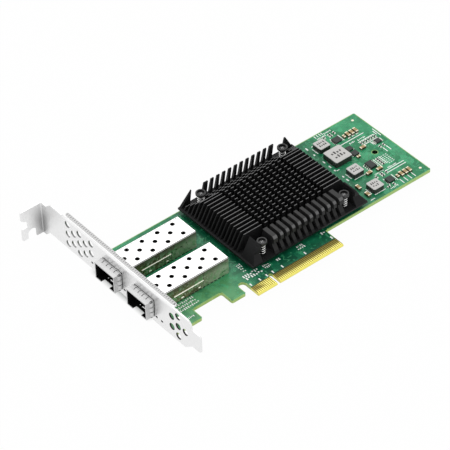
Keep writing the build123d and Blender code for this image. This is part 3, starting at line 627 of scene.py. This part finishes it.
tan_finish, tree, shader = material("tan ceramic", (0.3, 0.2, 0.1), 0.0, 0.4)
fired = grain(tree, EVEN, 5000.0)
clay = blend(fired, (0.3, 0.2, 0.07), (0.45, 0.32, 0.14))
# Painted shade: the capacitors' sides are dark, their tops keep the tan.
paint(shader, roofed((0.03, 0.02, 0.008), clay))
bump(shader, fired, 0.2, 0.05 * MM)

powder_finish, tree, shader = material("pressed powder with pale top", (0.05, 0.05, 0.048), 0.0, 0.45)
dust = grain(tree, EVEN, 3200.0)
# Partly the parts' own colour, partly painted light and shade: a pale top and dark sides.
dark_shaded_side = blend(dust, (0.012, 0.014, 0.012), (0.04, 0.042, 0.038))
pale_lit_top = blend(dust, (0.5, 0.5, 0.48), (0.64, 0.63, 0.61))
paint(shader, roofed(dark_shaded_side, pale_lit_top))
bump(shader, dust, 0.3, 0.08 * MM)
print("resins ready")

# %% Inks, laminate and copper
ink_finish = speckled("white print ink", (0.94, 0.97, 0.93), (1.0, 1.0, 0.98), 0.6, 1800.0)
mark_finish = speckled("grey marking ink", grey(0.025), (0.07, 0.07, 0.065), 0.6, 1800.0)
# Painted shade, for the gaps, slots and rolled rims of the cages.
shade_finish = speckled("dark gap", (0.004, 0.005, 0.004), (0.012, 0.014, 0.01), 0.7, 1800.0)
track_finish = speckled("varnish over copper", (0.04, 0.27, 0.12), (0.09, 0.4, 0.2), 0.35, 2400.0)
rim_finish = speckled("bare laminate", (0.2, 0.42, 0.1), (0.36, 0.58, 0.2), 0.5, 2000.0)
print("inks ready")

# %% [markdown]
# ## Conductive cloth
# The gasket along the bracket's flange is woven metal cloth round a foam core. Threads could be
# modelled one by one, but they are finer than a pixel, so one strip of the cloth is striped.

# %% Gasket cloth
THREADS_PER_METRE = 700.0
THREAD_GAP = 0.35

cloth_finish = speckled("grey conductive cloth", grey(0.5), (0.78, 0.78, 0.77), 0.6, 2600.0, 0.5)
tree = cloth_finish.node_tree
shader = tree.nodes["Principled BSDF"]
axes = object_axes(tree)
weave = maths("FRACT", maths("MULTIPLY", axes[1], THREADS_PER_METRE))
strip = within(axes[0], -55.4 * MM, -54.3 * MM, 0.1 * MM)
hatch = both(below(weave, THREAD_GAP), strip)
plain = shader.inputs["Base Color"].links[0].from_socket
paint(shader, tint(plain, hatch, (0.3, 0.29, 0.3)))
print(cloth_finish.name, "with threads every", round(1000 / THREADS_PER_METRE, 2), "mm")

# %% [markdown]
# ## Dressing the CAD solids
# A CAD node keeps its mesh. Only its material slot changes, so the shape stays exact. A loop over
# names could guess a finish from each name, but a plain list is easier to read and to correct.

# %% Give every solid its finish
DRESS = [
    (board_finish, ["circuit_board"]),
    (gold_finish, ["edge_contacts", "socket_contacts"]),
    (steel_finish, ["bracket", "heat_sink_nuts"]),
    (cloth_finish, ["bracket_gasket"]),
    (tin_finish, ["near_port_cage", "near_cage_floor", "near_spring_collar"]),
    (tin_finish, ["far_port_cage", "far_cage_floor", "far_spring_collar"]),
    (plastic_finish, ["near_port_socket", "far_port_socket"]),
    (lamp_finish, ["indicator_lamps"]),
    (anodised_finish, ["heat_sink"]),
    (head_finish, ["heat_sink_screws"]),
    (pad_finish, ["thermal_pad"]),
    (chip_finish, ["controller_chip", "power_chips", "eight_lead_chip", "small_leaded_chip"]),
    (solder_finish, ["bracket_screws", "eight_lead_chip_leads", "small_leaded_chip_leads"]),
    (solder_finish, ["resistor_ends"]),
    (powder_finish, ["large_inductor", "small_inductors"]),
    (dull_finish, ["inductor_terminals"]),
    (tan_finish, ["capacitor_bodies"]),
    (cream_finish, ["capacitor_ends"]),
    (resistor_finish, ["resistor_bodies"]),
]
dressed = [(name, finish) for finish, names in DRESS for name in names]
for name, finish in dressed:
    mesh = nodes[name].data
    mesh.materials.clear()
    mesh.materials.append(finish)
print("dressed", len(dressed), "solids")

# %% [markdown]
# ## Pieces that only the picture needs
# Solder pads, print, tracks and springs are too fine for the CAD file, so they are made here in
# mesh code. Each group of small things is one bmesh and becomes one object. A row of pads could
# also be an Array modifier, but their places follow the CAD parts, so they are read off these.

# %% Helpers for pieces
def finish_piece(name, bm, look, smooth=False):
    """Closes a bmesh into an object that rides on the card."""
    bmesh.ops.recalc_face_normals(bm, faces=bm.faces)
    mesh = bpy.data.meshes.new(name)
    bm.to_mesh(mesh)
    bm.free()
    mesh.materials.append(look)
    if smooth:
        mesh.polygons.foreach_set("use_smooth", [True] * len(mesh.polygons))
    made = new_object(name, mesh)
    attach(made, "root")
    print(name, len(mesh.polygons), "faces")
    return made


def plate(bm, x, y, wide, deep, turn=0.0, low=TOP, thick=0.02 * MM):
    """Thin plate lying at a height, centred at x, y; plan sizes are in millimetres."""
    centre = Matrix.Translation((x * MM, y * MM, low + thick / 2))
    scale = Matrix.Diagonal((wide * MM, deep * MM, thick, 1))
    bmesh.ops.create_cube(bm, size=1.0, matrix=centre @ Matrix.Rotation(turn, 4, "Z") @ scale)


def islands(name):
    """Boxes in millimetres round each loose solid of a CAD node, in the mesh's own order."""
    bm = bmesh.new()
    bm.from_mesh(nodes[name].data)
    bmesh.ops.remove_doubles(bm, verts=bm.verts, dist=0.001 * MM)
    left = set(bm.verts)
    boxes = []
    for seed in bm.verts:
        if seed not in left:
            continue
        left.remove(seed)
        stack = [seed]
        found = [seed.co]
        while stack:
            for edge in stack.pop().link_edges:
                for vert in edge.verts:
                    if vert in left:
                        left.remove(vert)
                        stack.append(vert)
                        found.append(vert.co)
        low = [min(co[i] for co in found) / MM for i in range(3)]
        high = [max(co[i] for co in found) / MM for i in range(3)]
        boxes.append((low, high))
    bm.free()
    return boxes


def middle_of(low, high):
    """The middle of a box, seen from above."""
    return (low[0] + high[0]) / 2, (low[1] + high[1]) / 2


def lathe(bm, profile, spot, steps=32):
    """Spins (radius, height) points, in millimetres, round an upright axis at x, y."""
    centre = Vector((spot[0] * MM, spot[1] * MM, 0))
    verts = [bm.verts.new(centre + Vector((r * MM, 0, z * MM))) for r, z in profile]
    edges = [bm.edges.new(pair) for pair in zip(verts, verts[1:])]
    bmesh.ops.spin(
        bm, geom=verts + edges, cent=centre, axis=(0, 0, 1), angle=math.tau, steps=steps, use_merge=True
    )
    bmesh.ops.remove_doubles(bm, verts=bm.verts, dist=0.002 * MM)


screw_boxes = islands("heat_sink_screws")
SCREWS = [middle_of(low, high) for low, high in screw_boxes]
SCREW_LOW = screw_boxes[0][0][2]
SCREW_HIGH = screw_boxes[0][1][2]
print("screws at", [(round(x, 1), round(y, 1)) for x, y in SCREWS])

# %% [markdown]
# ## Coil springs and turned screws
# The CAD has a plain sleeve for each spring and a head with flats. The real spring is round wire
# wound in a helix: spinning a small circle round the screw, with a step upwards, winds it. The
# screw is turned on a lathe, so its profile is spun all the way round and welded shut.

# %% Wind the springs
SPRING_RADIUS = 1.48 * MM
WIRE_RADIUS = 0.25 * MM
SPRING_TURNS = 4
STEPS_A_TURN = 18


def wind(bm, spot, radius, wire, low, high, turns):
    """Adds one coil: a wire circle spun round a screw while it climbs."""
    centre = Vector((spot[0] * MM, spot[1] * MM, 0))
    start = Matrix.Translation(centre + Vector((radius, 0, low + wire)))
    upright = start @ Matrix.Rotation(math.pi / 2, 4, "X")
    circle = bmesh.ops.create_circle(bm, cap_ends=False, segments=8, radius=wire, matrix=upright)
    steps = turns * STEPS_A_TURN
    bmesh.ops.spin(
        bm,
        geom=circle["verts"] + list({e for v in circle["verts"] for e in v.link_edges}),
        cent=centre,
        axis=(0, 0, 1),
        dvec=(0, 0, (high - low - 2 * wire) / steps),
        angle=math.tau * turns,
        steps=steps,
    )


spring_low, spring_high = islands("heat_sink_springs")[0]
coils = bmesh.new()
for spot in SCREWS:
    wind(
        coils, spot, SPRING_RADIUS, WIRE_RADIUS, spring_low[2] * MM, spring_high[2] * MM, SPRING_TURNS
    )
wire_ends = [edge for edge in coils.edges if edge.is_boundary]
bmesh.ops.holes_fill(coils, edges=wire_ends)
springs = finish_piece("screw_springs", coils, wire_finish, smooth=True)
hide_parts("heat_sink_springs")

# %% Turn the screws
NECK = spring_high[2]
HEAD_R = 2.6
RECESS_R = 1.75
RECESS_FLOOR = SCREW_HIGH - 0.9
SCREW_PROFILE = [
    (0, SCREW_LOW), (0.8, SCREW_LOW), (1.0, SCREW_LOW + 0.25), (1.0, NECK), (1.6, NECK + 0.05),
    (HEAD_R - 0.1, NECK + 1.0), (HEAD_R, NECK + 1.15), (HEAD_R, SCREW_HIGH - 0.25),
    (HEAD_R - 0.25, SCREW_HIGH), (RECESS_R + 0.15, SCREW_HIGH), (RECESS_R, SCREW_HIGH - 0.12),
    (RECESS_R, RECESS_FLOOR), (0, RECESS_FLOOR),
]
turned = bmesh.new()
for spot in SCREWS:
    lathe(turned, SCREW_PROFILE, spot)
heads = finish_piece("turned_screws", turned, head_finish)
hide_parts("heat_sink_screws")

# %% Line their recesses and mark the cross
CUP_FLOOR = SCREW_HIGH - 0.84
CUP_RIM = SCREW_HIGH - 0.3
CUP_UNDER = SCREW_HIGH - 0.89
CUP_INSIDE, CUP_OUTSIDE = RECESS_R - 0.07, RECESS_R - 0.02
CUP_PROFILE = [
    (0, CUP_FLOOR), (CUP_INSIDE, CUP_FLOOR), (CUP_INSIDE, CUP_RIM),
    (CUP_OUTSIDE, CUP_RIM), (CUP_OUTSIDE, CUP_UNDER), (0, CUP_UNDER),
]
CROSS_LONG, CROSS_WIDE, CROSS_TURN = 1.7, 0.24, 0.5

cups = bmesh.new()
for spot in SCREWS:
    lathe(cups, CUP_PROFILE, spot, 24)
finish_piece("screw_recesses", cups, dull_finish)
cross = bmesh.new()
for x, y in SCREWS:
    for turn in (CROSS_TURN, CROSS_TURN + math.pi / 2):
        plate(cross, x, y, CROSS_LONG, CROSS_WIDE, turn, CUP_FLOOR * MM, 0.05 * MM)
finish_piece("screw_crosses", cross, cross_highlight_finish)

# %% [markdown]
# ## Solder pads
# Every small part sits on tinned pads that are a little larger than its metal ends. Their places
# could be typed in, but the ends are separate solids in the CAD file, so the pads follow from
# the boxes round them.

# %% Pads under the small parts
PAD_MARGINS = {
    "resistor_ends": 0.15,
    "eight_lead_chip_leads": 0.15,
    "small_leaded_chip_leads": 0.1,
    "inductor_terminals": 0.2,
}
CHIP_PAD_WIDE = 0.6

pads = bmesh.new()
for name, margin in PAD_MARGINS.items():
    for low, high in islands(name):
        x, y = middle_of(low, high)
        plate(pads, x, y, high[0] - low[0] + 2 * margin, high[1] - low[1] + 2 * margin)
for low, high in islands("power_chips"):
    y = middle_of(low, high)[1]
    for x in (low[0] - CHIP_PAD_WIDE / 2, high[0] + CHIP_PAD_WIDE / 2):
        plate(pads, x, y, CHIP_PAD_WIDE, (high[1] - low[1]) * 0.9)
finish_piece("solder_pads", pads, solder_finish)

# %% [markdown]
# ## White print
# The print is ink laid on the varnish. It carries no words here: rows of bars and dots stand where
# the photo shows lines of print, and long bars where it shows frames round the parts. A texture
# would need an image, and thin plates keep sharp edges from close by. One seeded generator draws
# all that is left to chance on this card, so that every run gives the same card.

# %% Rows of bars and dots
draw = random.Random(11)
MARKS = [(0.46, 1.05), (0.46, 1.05), (0.46, 0.6), (0.56, 0.5)]
MARK_GAP = 0.4


def mark_row(bm, x0, x1, y, high, low=TOP):
    """Row of long bars, short bars and dots that fills a stretch the way a line of print does."""
    x = x0
    while x < x1 - 0.3 * high:
        wide, deep = draw.choice(MARKS)
        shift = draw.uniform(-0.5, 0.5) * (1 - deep)
        plate(bm, x + wide * high / 2, y + shift * high, wide * high, deep * high, low=low)
        x += (wide + MARK_GAP) * high


ROWS = [
    (-47.4, -35.8, 18.6, 1.3), (-47.0, -35.8, 16.6, 1.3), (-46.6, -35.8, 14.6, 1.3),
    (-46.6, -42.9, 8.6, 1.0), (-10.6, -1.2, 13.4, 1.5), (-10.2, -0.6, 11.4, 1.6),
    (0.9, 4.9, 13.2, 1.1), (1.2, 4.6, 11.6, 1.1), (8.6, 11.4, 12.2, 1.4), (21.2, 25.2, 12.8, 1.1),
    (20.8, 25.4, 11.3, 1.3), (36.0, 38.0, 12.4, 1.5), (79.3, 84.6, 65.4, 0.9), (84.4, 89.0, 66.6, 0.9),
    (89.0, 92.4, 52.6, 1.0), (93.6, 98.2, 52.0, 0.9), (82.8, 88.6, 27.4, 0.8), (91.0, 96.4, 27.3, 0.8),
    (82.0, 87.0, 14.9, 0.9), (-8.2, -5.9, 21.4, 1.0), (-8.2, -5.9, 19.8, 1.0), (-8.0, -5.9, 18.2, 1.0),
    (-8.0, -6.0, 16.4, 1.0),
]
ink = bmesh.new()
for x0, x1, y, high in ROWS:
    mark_row(ink, x0, x1, y, high)
print(len(ROWS), "rows of print")

# %% Frames and single bars
THINNEST_LINE = 0.42
BARS = [(x, 67.4, 0.28, 1.9) for x in (79.4, 80.9, 82.4, 83.7)]
BARS += [(x, 7.3, 0.7, 1.7) for x in (-11.0, -5.6, -1.4, 2.2, 7.9, 21.7, 38.0)]
BARS += [(x, 56.2, 1.6, 0.6) for x in (91.8, 94.3, 96.8)]
BARS += [(91.8, 54.6, 15.5, 0.22), (104.7, 50.8, 0.35, 6.4)]
BARS += [(103.6, 51.0, 0.3, 3.0), (97.5, 46.4, 0.3, 3.4)]
BARS += [(x, 38.2, 0.3, 3.6) for x in (99.2, 101.4)]
BARS += [(x, 15.6, 0.35, 3.4) for x in (89.7, 92.1, 94.6, 97.1)]
BARS += [(x, y, 0.7, 0.28) for x in (94.2, 95.6, 97.0) for y in (35.6, 34.4, 33.2, 32.0, 30.8, 29.6)]
BARS += [(x, 33.2, 0.25, 6.4) for x in (89.6, 93.2)]
BARS += [(94.4, y, 12.0, 0.25) for y in (26.3, 24.7)]
BARS += [(97.6, y, 9.6, 0.25) for y in (50.6, 47.5)]
BARS += [(76.6, y, 6.8, 0.25) for y in (63.0, 31.0, 16.5)]
BARS += [(x, y, 0.25, 5.2) for x, y in ((83.9, 59.0), (88.9, 59.0), (83.7, 20.0), (88.9, 20.0))]
BARS += [(72.6, y, 0.3, 4.4) for y in (59.2, 48.6, 34.7, 20.2)]
BARS += [(71.9, 41.6, 1.8, 0.5), (70.5, 14.8, 2.6, 0.4), (66.4, 15.2, 1.6, 0.3)]
for x, y, wide, deep in BARS:
    plate(ink, x, y, max(wide, THINNEST_LINE), max(deep, THINNEST_LINE))
for y in (63.2, 57.6, 50.4, 46.0, 42.4, 36.4, 33.2):
    plate(ink, 70.6, y, 0.7, draw.uniform(0.7, 2.2))
finish_piece("white_print", ink, ink_finish)

# %% [markdown]
# ## Bare rim of the board
# The varnish stops a little short of the sawn edge, so a pale line of bare laminate runs round the
# board. A mask by distance from the edge would need the outline in the material, so narrow strips
# are laid along the straight edges.

# %% Strips along the edges
RIM_WIDE = 0.34
RIM_LINES = [
    (40.2, 13.0, 104.9, 13.0), (105.7, 13.8, 105.7, 67.9), (-56.0, 68.7, 104.9, 68.7),
    (-40.4, 12.4, -25.5, 12.4), (-24.3, 5.3, -24.3, 12.2), (-23.5, 4.5, -17.2, 4.5),
    (-16.35, 5.3, -16.35, 9.5), (-41.6, 5.8, -41.6, 12.2), (-56.0, 5.0, -42.4, 5.0),
    (38.95, 6.0, 38.95, 12.6), (-11.95, 6.0, -11.95, 9.5),
]
rim = bmesh.new()
for x0, y0, x1, y1 in RIM_LINES:
    wide = max(x1 - x0, RIM_WIDE)
    deep = max(y1 - y0, RIM_WIDE)
    plate(rim, (x0 + x1) / 2, (y0 + y1) / 2, wide, deep)
finish_piece("bare_rim", rim, rim_finish)

# %% [markdown]
# ## Tracks and plated holes
# Copper tracks run in straight pieces that turn by an eighth of a circle, and end at small plated
# holes. Under the varnish both show as paler green. Real ones could be traced one by one, but no
# two cards are alike, so short walks are drawn at random inside the free fields of the board.

# %% Walks of tracks
TRACK_WIDE = 0.22
TRACK_THICK = 0.012 * MM
HOLE_RADIUS, UNDER_HOLE_RADIUS = 0.34, 0.36
FIELDS = [
    (-44.0, -14.5, 12.8, 19.6, 24), (-12.0, -5.8, 13.5, 67.5, 34), (-11.0, 38.0, 6.4, 12.2, 16),
    (66.5, 105.0, 13.6, 68.0, 130), (-44.0, -14.0, 34.8, 43.2, 20),
]
DIRECTIONS = [(1, 0), (0, 1), (1, 1), (1, -1), (-1, 1)]


def disc(height, radius, thick):
    """Closed profile of a flat bead on a board face; a negative thickness hangs it below."""
    base = height / MM
    return [(0, base + thick), (radius - 0.04, base + thick), (radius, base), (0, base)]


def on_board(x, y):
    """True where the board is solid, away from the shelf beside the contacts and the free hole."""
    free = math.hypot(x - FREE_HOLE[0], y - FREE_HOLE[1]) > 2.2
    return free and (y > 13.6 or -11.0 < x < 38.0)


copper_lines = bmesh.new()
vias = bmesh.new()
for x0, x1, y0, y1, count in FIELDS:
    for _ in range(count):
        x, y = draw.uniform(x0, x1), draw.uniform(y0, y1)
        for _ in range(draw.randint(1, 3)):
            dx, dy = draw.choice(DIRECTIONS)
            run = draw.uniform(0.8, 2.6)
            nx, ny = x + dx * run, y + dy * run
            if not (x0 < nx < x1 and y0 < ny < y1):
                break
            turn = math.atan2(dy, dx)
            long = math.hypot(nx - x, ny - y) + 0.1
            if on_board(x, y) and on_board(nx, ny) and on_board((x + nx) / 2, (y + ny) / 2):
                plate(
                    copper_lines, (x + nx) / 2, (y + ny) / 2, long, TRACK_WIDE, turn, thick=TRACK_THICK
                )
            x, y = nx, ny
        if on_board(x, y):
            lathe(vias, disc(TOP, HOLE_RADIUS, 0.018), (x, y), 8)
finish_piece("copper_tracks", copper_lines, track_finish)
finish_piece("plated_holes", vias, track_finish)

# %% Sighting dots and the ring of the free hole
SIGHTING_DOTS = ((101.7, 65.1), (102.7, 17.0))
BOARD_TOP = TOP / MM
RING_PROFILE = [
    (1.44, BOARD_TOP), (1.48, BOARD_TOP + 0.02), (1.7, BOARD_TOP + 0.02), (1.74, BOARD_TOP),
    (1.44, BOARD_TOP),
]
gold_dots = bmesh.new()
for spot in SIGHTING_DOTS:
    lathe(gold_dots, disc(TOP, 0.7, 0.03), spot, 20)
finish_piece("gold_dots", gold_dots, cream_finish)
ring = bmesh.new()
lathe(ring, RING_PROFILE, FREE_HOLE)
finish_piece("hole_ring", ring, rim_finish)

# %% [markdown]
# ## The solder side
# The photograph doesn't show the board's other side. A card of this kind has rows of small
# capacitors under its controller, plated holes and tracks there, so plain ones are made: each
# capacitor is a cube, stretched and bevelled, with two tinned ends.

# %% Small parts on the solder side
def chamfered_block(bm, x, y, size):
    """Small bevelled block that hangs under the board; size is in millimetres."""
    centre = Matrix.Translation((x * MM, y * MM, UNDER - size[2] * MM / 2))
    scale = Matrix.Diagonal((*(v * MM for v in size), 1))
    made = bmesh.ops.create_cube(bm, size=1.0, matrix=centre @ scale)
    edges = list({edge for vert in made["verts"] for edge in vert.link_edges})
    bmesh.ops.bevel(bm, geom=edges, offset=0.06 * MM, affect="EDGES", segments=1, profile=0.5, material=-1)


UNDER_CHIP_X = (19.0, 22.2, 25.4, 34.6, 37.8, 41.0)
UNDER_CHIP_Y = (31.0, 34.0, 37.0, 43.0, 46.0, 49.0)
UNDER_PARTS = [(x, y) for x in UNDER_CHIP_X for y in UNDER_CHIP_Y]
UNDER_PARTS += [(x, 21.0) for x in (66.0, 69.2, 72.4, 80.0, 83.2)] + [(x, 62.0) for x in (72.0, 75.2, 86.0)]
UNDER_PARTS += [(x, 10.4) for x in (4.0, 7.2, 14.0, 17.2, 24.0, 27.2)]
BODY_SIZE, END_SIZE = (1.0, 0.8, 0.7), (0.34, 0.84, 0.74)
END_SHIFT = 0.65
clay_blocks = bmesh.new()
tinned_ends = bmesh.new()
for x, y in UNDER_PARTS:
    chamfered_block(clay_blocks, x, y, BODY_SIZE)
    for shift in (-END_SHIFT, END_SHIFT):
        chamfered_block(tinned_ends, x + shift, y, END_SIZE)
finish_piece("under_capacitors", clay_blocks, under_tan_finish)
finish_piece("under_capacitor_ends", tinned_ends, solder_finish)

# %% Tracks and plated holes on the solder side
UNDER_FIELDS = [
    (-44.0, -14.0, 14.0, 67.0, 60), (-10.0, 62.0, 8.0, 66.0, 160), (64.0, 104.0, 14.5, 67.0, 90),
]
UNDER_TRACK_WIDE = 0.25
TRACK_TURNS = (0.0, math.pi / 2, math.pi / 4)
under_lines = bmesh.new()
under_vias = bmesh.new()
for x0, x1, y0, y1, count in UNDER_FIELDS:
    for _ in range(count):
        x, y = draw.uniform(x0, x1), draw.uniform(y0, y1)
        long = draw.uniform(2.0, 9.0)
        turn = draw.choice(TRACK_TURNS)
        if x + long < x1 and y + long < y1:
            reach = Vector((math.cos(turn), math.sin(turn))) * long / 2
            if all(on_board(x + k * reach.x, y + k * reach.y) for k in (0, 0.5, 1, 1.5, 2)):
                plate(
                    under_lines, x + reach.x, y + reach.y, long, UNDER_TRACK_WIDE, turn,
                    UNDER - TRACK_THICK, TRACK_THICK,
                )
        if on_board(x, y):
            lathe(under_vias, disc(UNDER, UNDER_HOLE_RADIUS, -0.02), (x, y), 8)
finish_piece("under_tracks", under_lines, track_finish)
finish_piece("under_plated_holes", under_vias, solder_finish)

# %% [markdown]
# ## Marks on the inductors
# The inductors carry a code in grey ink on their pale tops. Bars and dots stand for it, in two
# rows on each part, made by the same function as the board's print.

# %% Two rows on each inductor
CODE_HEIGHTS = {"large_inductor": 1.9, "small_inductors": 1.3}
ROW_STEP = 1.5

code = bmesh.new()
for name, high in CODE_HEIGHTS.items():
    for low, top in islands(name):
        middle_x, middle_y = middle_of(low, top)
        reach = ROW_STEP * high
        for side in (-0.5, 0.5):
            y = middle_y + side * high * ROW_STEP
            mark_row(code, middle_x - reach, middle_x + reach, y, high, low=top[2] * MM)
finish_piece("inductor_codes", code, mark_finish)

# %% [markdown]
# ## Gaps, rolled rims and beads of the cages
# A cage stands on feet with gaps between them, and the far cage has a row of small slots in its
# roof. The punched roof holes have a rolled rim, and the walls have pressed beads that catch the
# light. Cutting them into the CAD solids would change these, so the shade in the gaps and slots is
# painted with thin dark plates, the shade on the rolled rims is painted with dark rings turned on
# the lathe, and the beads are round bars.

# %% Dark gaps and slots
CAGE_START, CAGE_END, CAGE_TOP = -53.0, -15.0, 10.585
CAGE_WALL = 7.075
GAP_LONG, GAP_HIGH, GAP_PITCH = 1.5, 0.55, 2.25
SLOTS, SLOT_PITCH, SLOT_ROW = 14, 2.9, 6.1

# Painted shade: thin dark plates stand for the shade in the gaps between the feet and in the roof slots.
gaps = bmesh.new()
for port in PORT_CENTRES:
    x = CAGE_START
    while x < CAGE_END:
        plate(gaps, x, port - CAGE_WALL, GAP_LONG, 0.06, low=TOP, thick=GAP_HIGH * MM)
        x += GAP_PITCH
for slot in range(SLOTS):
    x = CAGE_START + SLOT_PITCH * slot
    plate(gaps, x, PORT_CENTRES[1] + SLOT_ROW, GAP_LONG, 0.22, low=CAGE_TOP * MM)
finish_piece("cage_gaps", gaps, shade_finish)

# %% Rolled rims of the roof holes
ROOF_HOLES = 4
ROOF_PITCH = 9.0
ROOF_ROW_X = -45.7
ROOF_ROW_Y = 4.05
ROLLED_RIM = [(0.85, 10.55), (0.87, 10.6), (1.18, 10.6), (1.22, CAGE_TOP), (0.85, 10.55)]
# Painted shade: dark rings stand for the shade on the rolled rims of the roof holes.
rims = bmesh.new()
for port in PORT_CENTRES:
    for i in range(ROOF_HOLES):
        x = ROOF_ROW_X + ROOF_PITCH * i
        for spot in ((x - ROOF_PITCH / 2, port), (x, port - ROOF_ROW_Y), (x, port + ROOF_ROW_Y)):
            lathe(rims, ROLLED_RIM, spot, 20)
finish_piece("punched_rims", rims, shade_finish)

# %% Round beads on the cage walls
BEADS = [(-37.2, -7.15, 5.4, 17.2, 0.32), (-41.0, -7.0, 2.3, 1.5, 0.42), (-31.0, -7.0, 2.3, 1.1, 0.4)]


def bead(bm, x, y, z, length, radius):
    """Round bar along X, centred at x, y, z; all sizes in millimetres."""
    place = Matrix.Translation((x * MM, y * MM, z * MM)) @ Matrix.Rotation(math.pi / 2, 4, "Y")
    bmesh.ops.create_cone(
        bm, cap_ends=True, segments=12, radius1=radius * MM, radius2=radius * MM, depth=length * MM,
        matrix=place,
    )


glints = bmesh.new()
for port in PORT_CENTRES:
    for x, from_port, z, length, radius in BEADS:
        bead(glints, x, port + from_port, z, length, radius)
finish_piece("cage_glints", glints, glint_finish)

# %% [markdown]
# ## Floor and background
# The card is shown on pure white. A backdrop picture would do, but then no shadow would fall on
# it. Here the floor itself is white for camera rays, mirrored rays and rays through glass, and a
# plain pale floor for all others. Right under the board the plain floor shows, with one spot of
# painted shade where the board's free hole looks down on it. From below the floor is clear, so the
# solder side can be looked at.

# %% The floor
def shown_white(tree):
    """1 for rays that see the background: the camera's own, and those of metal and glass."""
    rays = node(tree, "ShaderNodeLightPath")
    by_mirror = maths("MAXIMUM", rays.outputs["Is Glossy Ray"], rays.outputs["Is Transmission Ray"])
    return maths("MAXIMUM", rays.outputs["Is Camera Ray"], by_mirror)


def mix_shaders(factor, first, second):
    """The second shader where the factor is 1, the first where it is 0."""
    made = node(first.id_data, "ShaderNodeMixShader")
    for socket, value in zip(made.inputs, (factor, first.outputs[0], second.outputs[0])):
        feed(socket, value)
    return made


FLOOR_GAP = 0.02 * MM
floor_mesh = bmesh.new()
bmesh.ops.create_grid(floor_mesh, x_segments=1, y_segments=1, size=3.0)
bmesh.ops.translate(floor_mesh, verts=floor_mesh.verts, vec=(0, 0, cad_box[0][2] - FLOOR_GAP))
mesh = bpy.data.meshes.new("floor")
floor_mesh.to_mesh(mesh)
floor_mesh.free()
floor = new_object("floor", mesh)
print("floor at", round(cad_box[0][2] / MM, 2), "mm")

# %% The floor's finish
UNDER_START = 26
# What shows through the free hole, from its centre along X and along Y, in millimetres.
DEEP_SHADE = ((0.8, 6.2), (1.8, 7.4))

floor_finish, tree, shader = material("white table", grey(0.8), 0.0, 0.9)
shader.inputs["Specular IOR Level"].default_value = 0.0
axes = object_axes(tree)
board_low, board_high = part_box("circuit_board")
under_board = both(
    within(axes[0], board_low[0], board_high[0], 2 * MM),
    within(axes[1], UNDER_START * MM, board_high[1], 2 * MM),
)
deep_shade = both(*[
    within(axis, (hole + start) * MM, (hole + stop) * MM, 0.8 * MM)
    for axis, hole, (start, stop) in zip(axes, FREE_HOLE, DEEP_SHADE)
])
# Painted shade: a dark spot on the floor where the free hole looks down.
paint(shader, blend(deep_shade, grey(0.8), (0.03, 0.035, 0.02)))
open_floor = maths("MULTIPLY", maths("SUBTRACT", 1.0, under_board), 0.98)
seen = node(tree, "ShaderNodeEmission", in_Strength=1.0)
white = maths("MULTIPLY", shown_white(tree), open_floor)
from_above = mix_shaders(white, shader, seen)
clear = node(tree, "ShaderNodeBsdfTransparent")
from_below = node(tree, "ShaderNodeNewGeometry").outputs["Backfacing"]
one_way = mix_shaders(from_below, from_above, clear)
feed(tree.nodes["Material Output"].inputs["Surface"], one_way.outputs[0])
mesh.materials.append(floor_finish)
print(floor_finish.name, "from", len(tree.nodes), "nodes")

# %% [markdown]
# ## Light
# Product photographs are taken in a light tent. An image of one could light the scene, but big
# soft square lamps and a plain bright world give the same even light: one lamp above and
# behind the card, one at the bracket's side and one at the contacts' side.

# %% World and lamps
WORLD_LEVEL = 0.88
world = bpy.data.worlds.new("studio")
bpy.context.scene.world = world
world.use_nodes = True
tree = world.node_tree
background = tree.nodes["Background"]
level = node(
    tree, "ShaderNodeMapRange", in_Value=shown_white(tree), in_To_Min=WORLD_LEVEL, in_To_Max=1.0
)
feed(background.inputs["Strength"], level.outputs[0])
background.inputs["Color"].default_value = (1, 1, 1, 1)


def lamp(name, spot, aim, power, size):
    """Square area lamp at a spot, turned towards a point."""
    data = bpy.data.lights.new(name, "AREA")
    data.energy = power
    data.size = size
    turn = (Vector(aim) - Vector(spot)).to_track_quat("-Z", "Y")
    new_object(name, data).matrix_world = Matrix.Translation(spot) @ turn.to_matrix().to_4x4()


middle = (0.02, 0.04, 0.0)
lamp("top lamp", (0.25, 0.45, 0.9), middle, 1.6, 0.8)
lamp("left lamp", (-0.9, 0.35, 0.5), middle, 0.6, 0.6)
lamp("front lamp", (0.1, -0.9, 0.5), middle, 0.4, 0.6)
bpy.context.scene.view_settings.view_transform = "Standard"
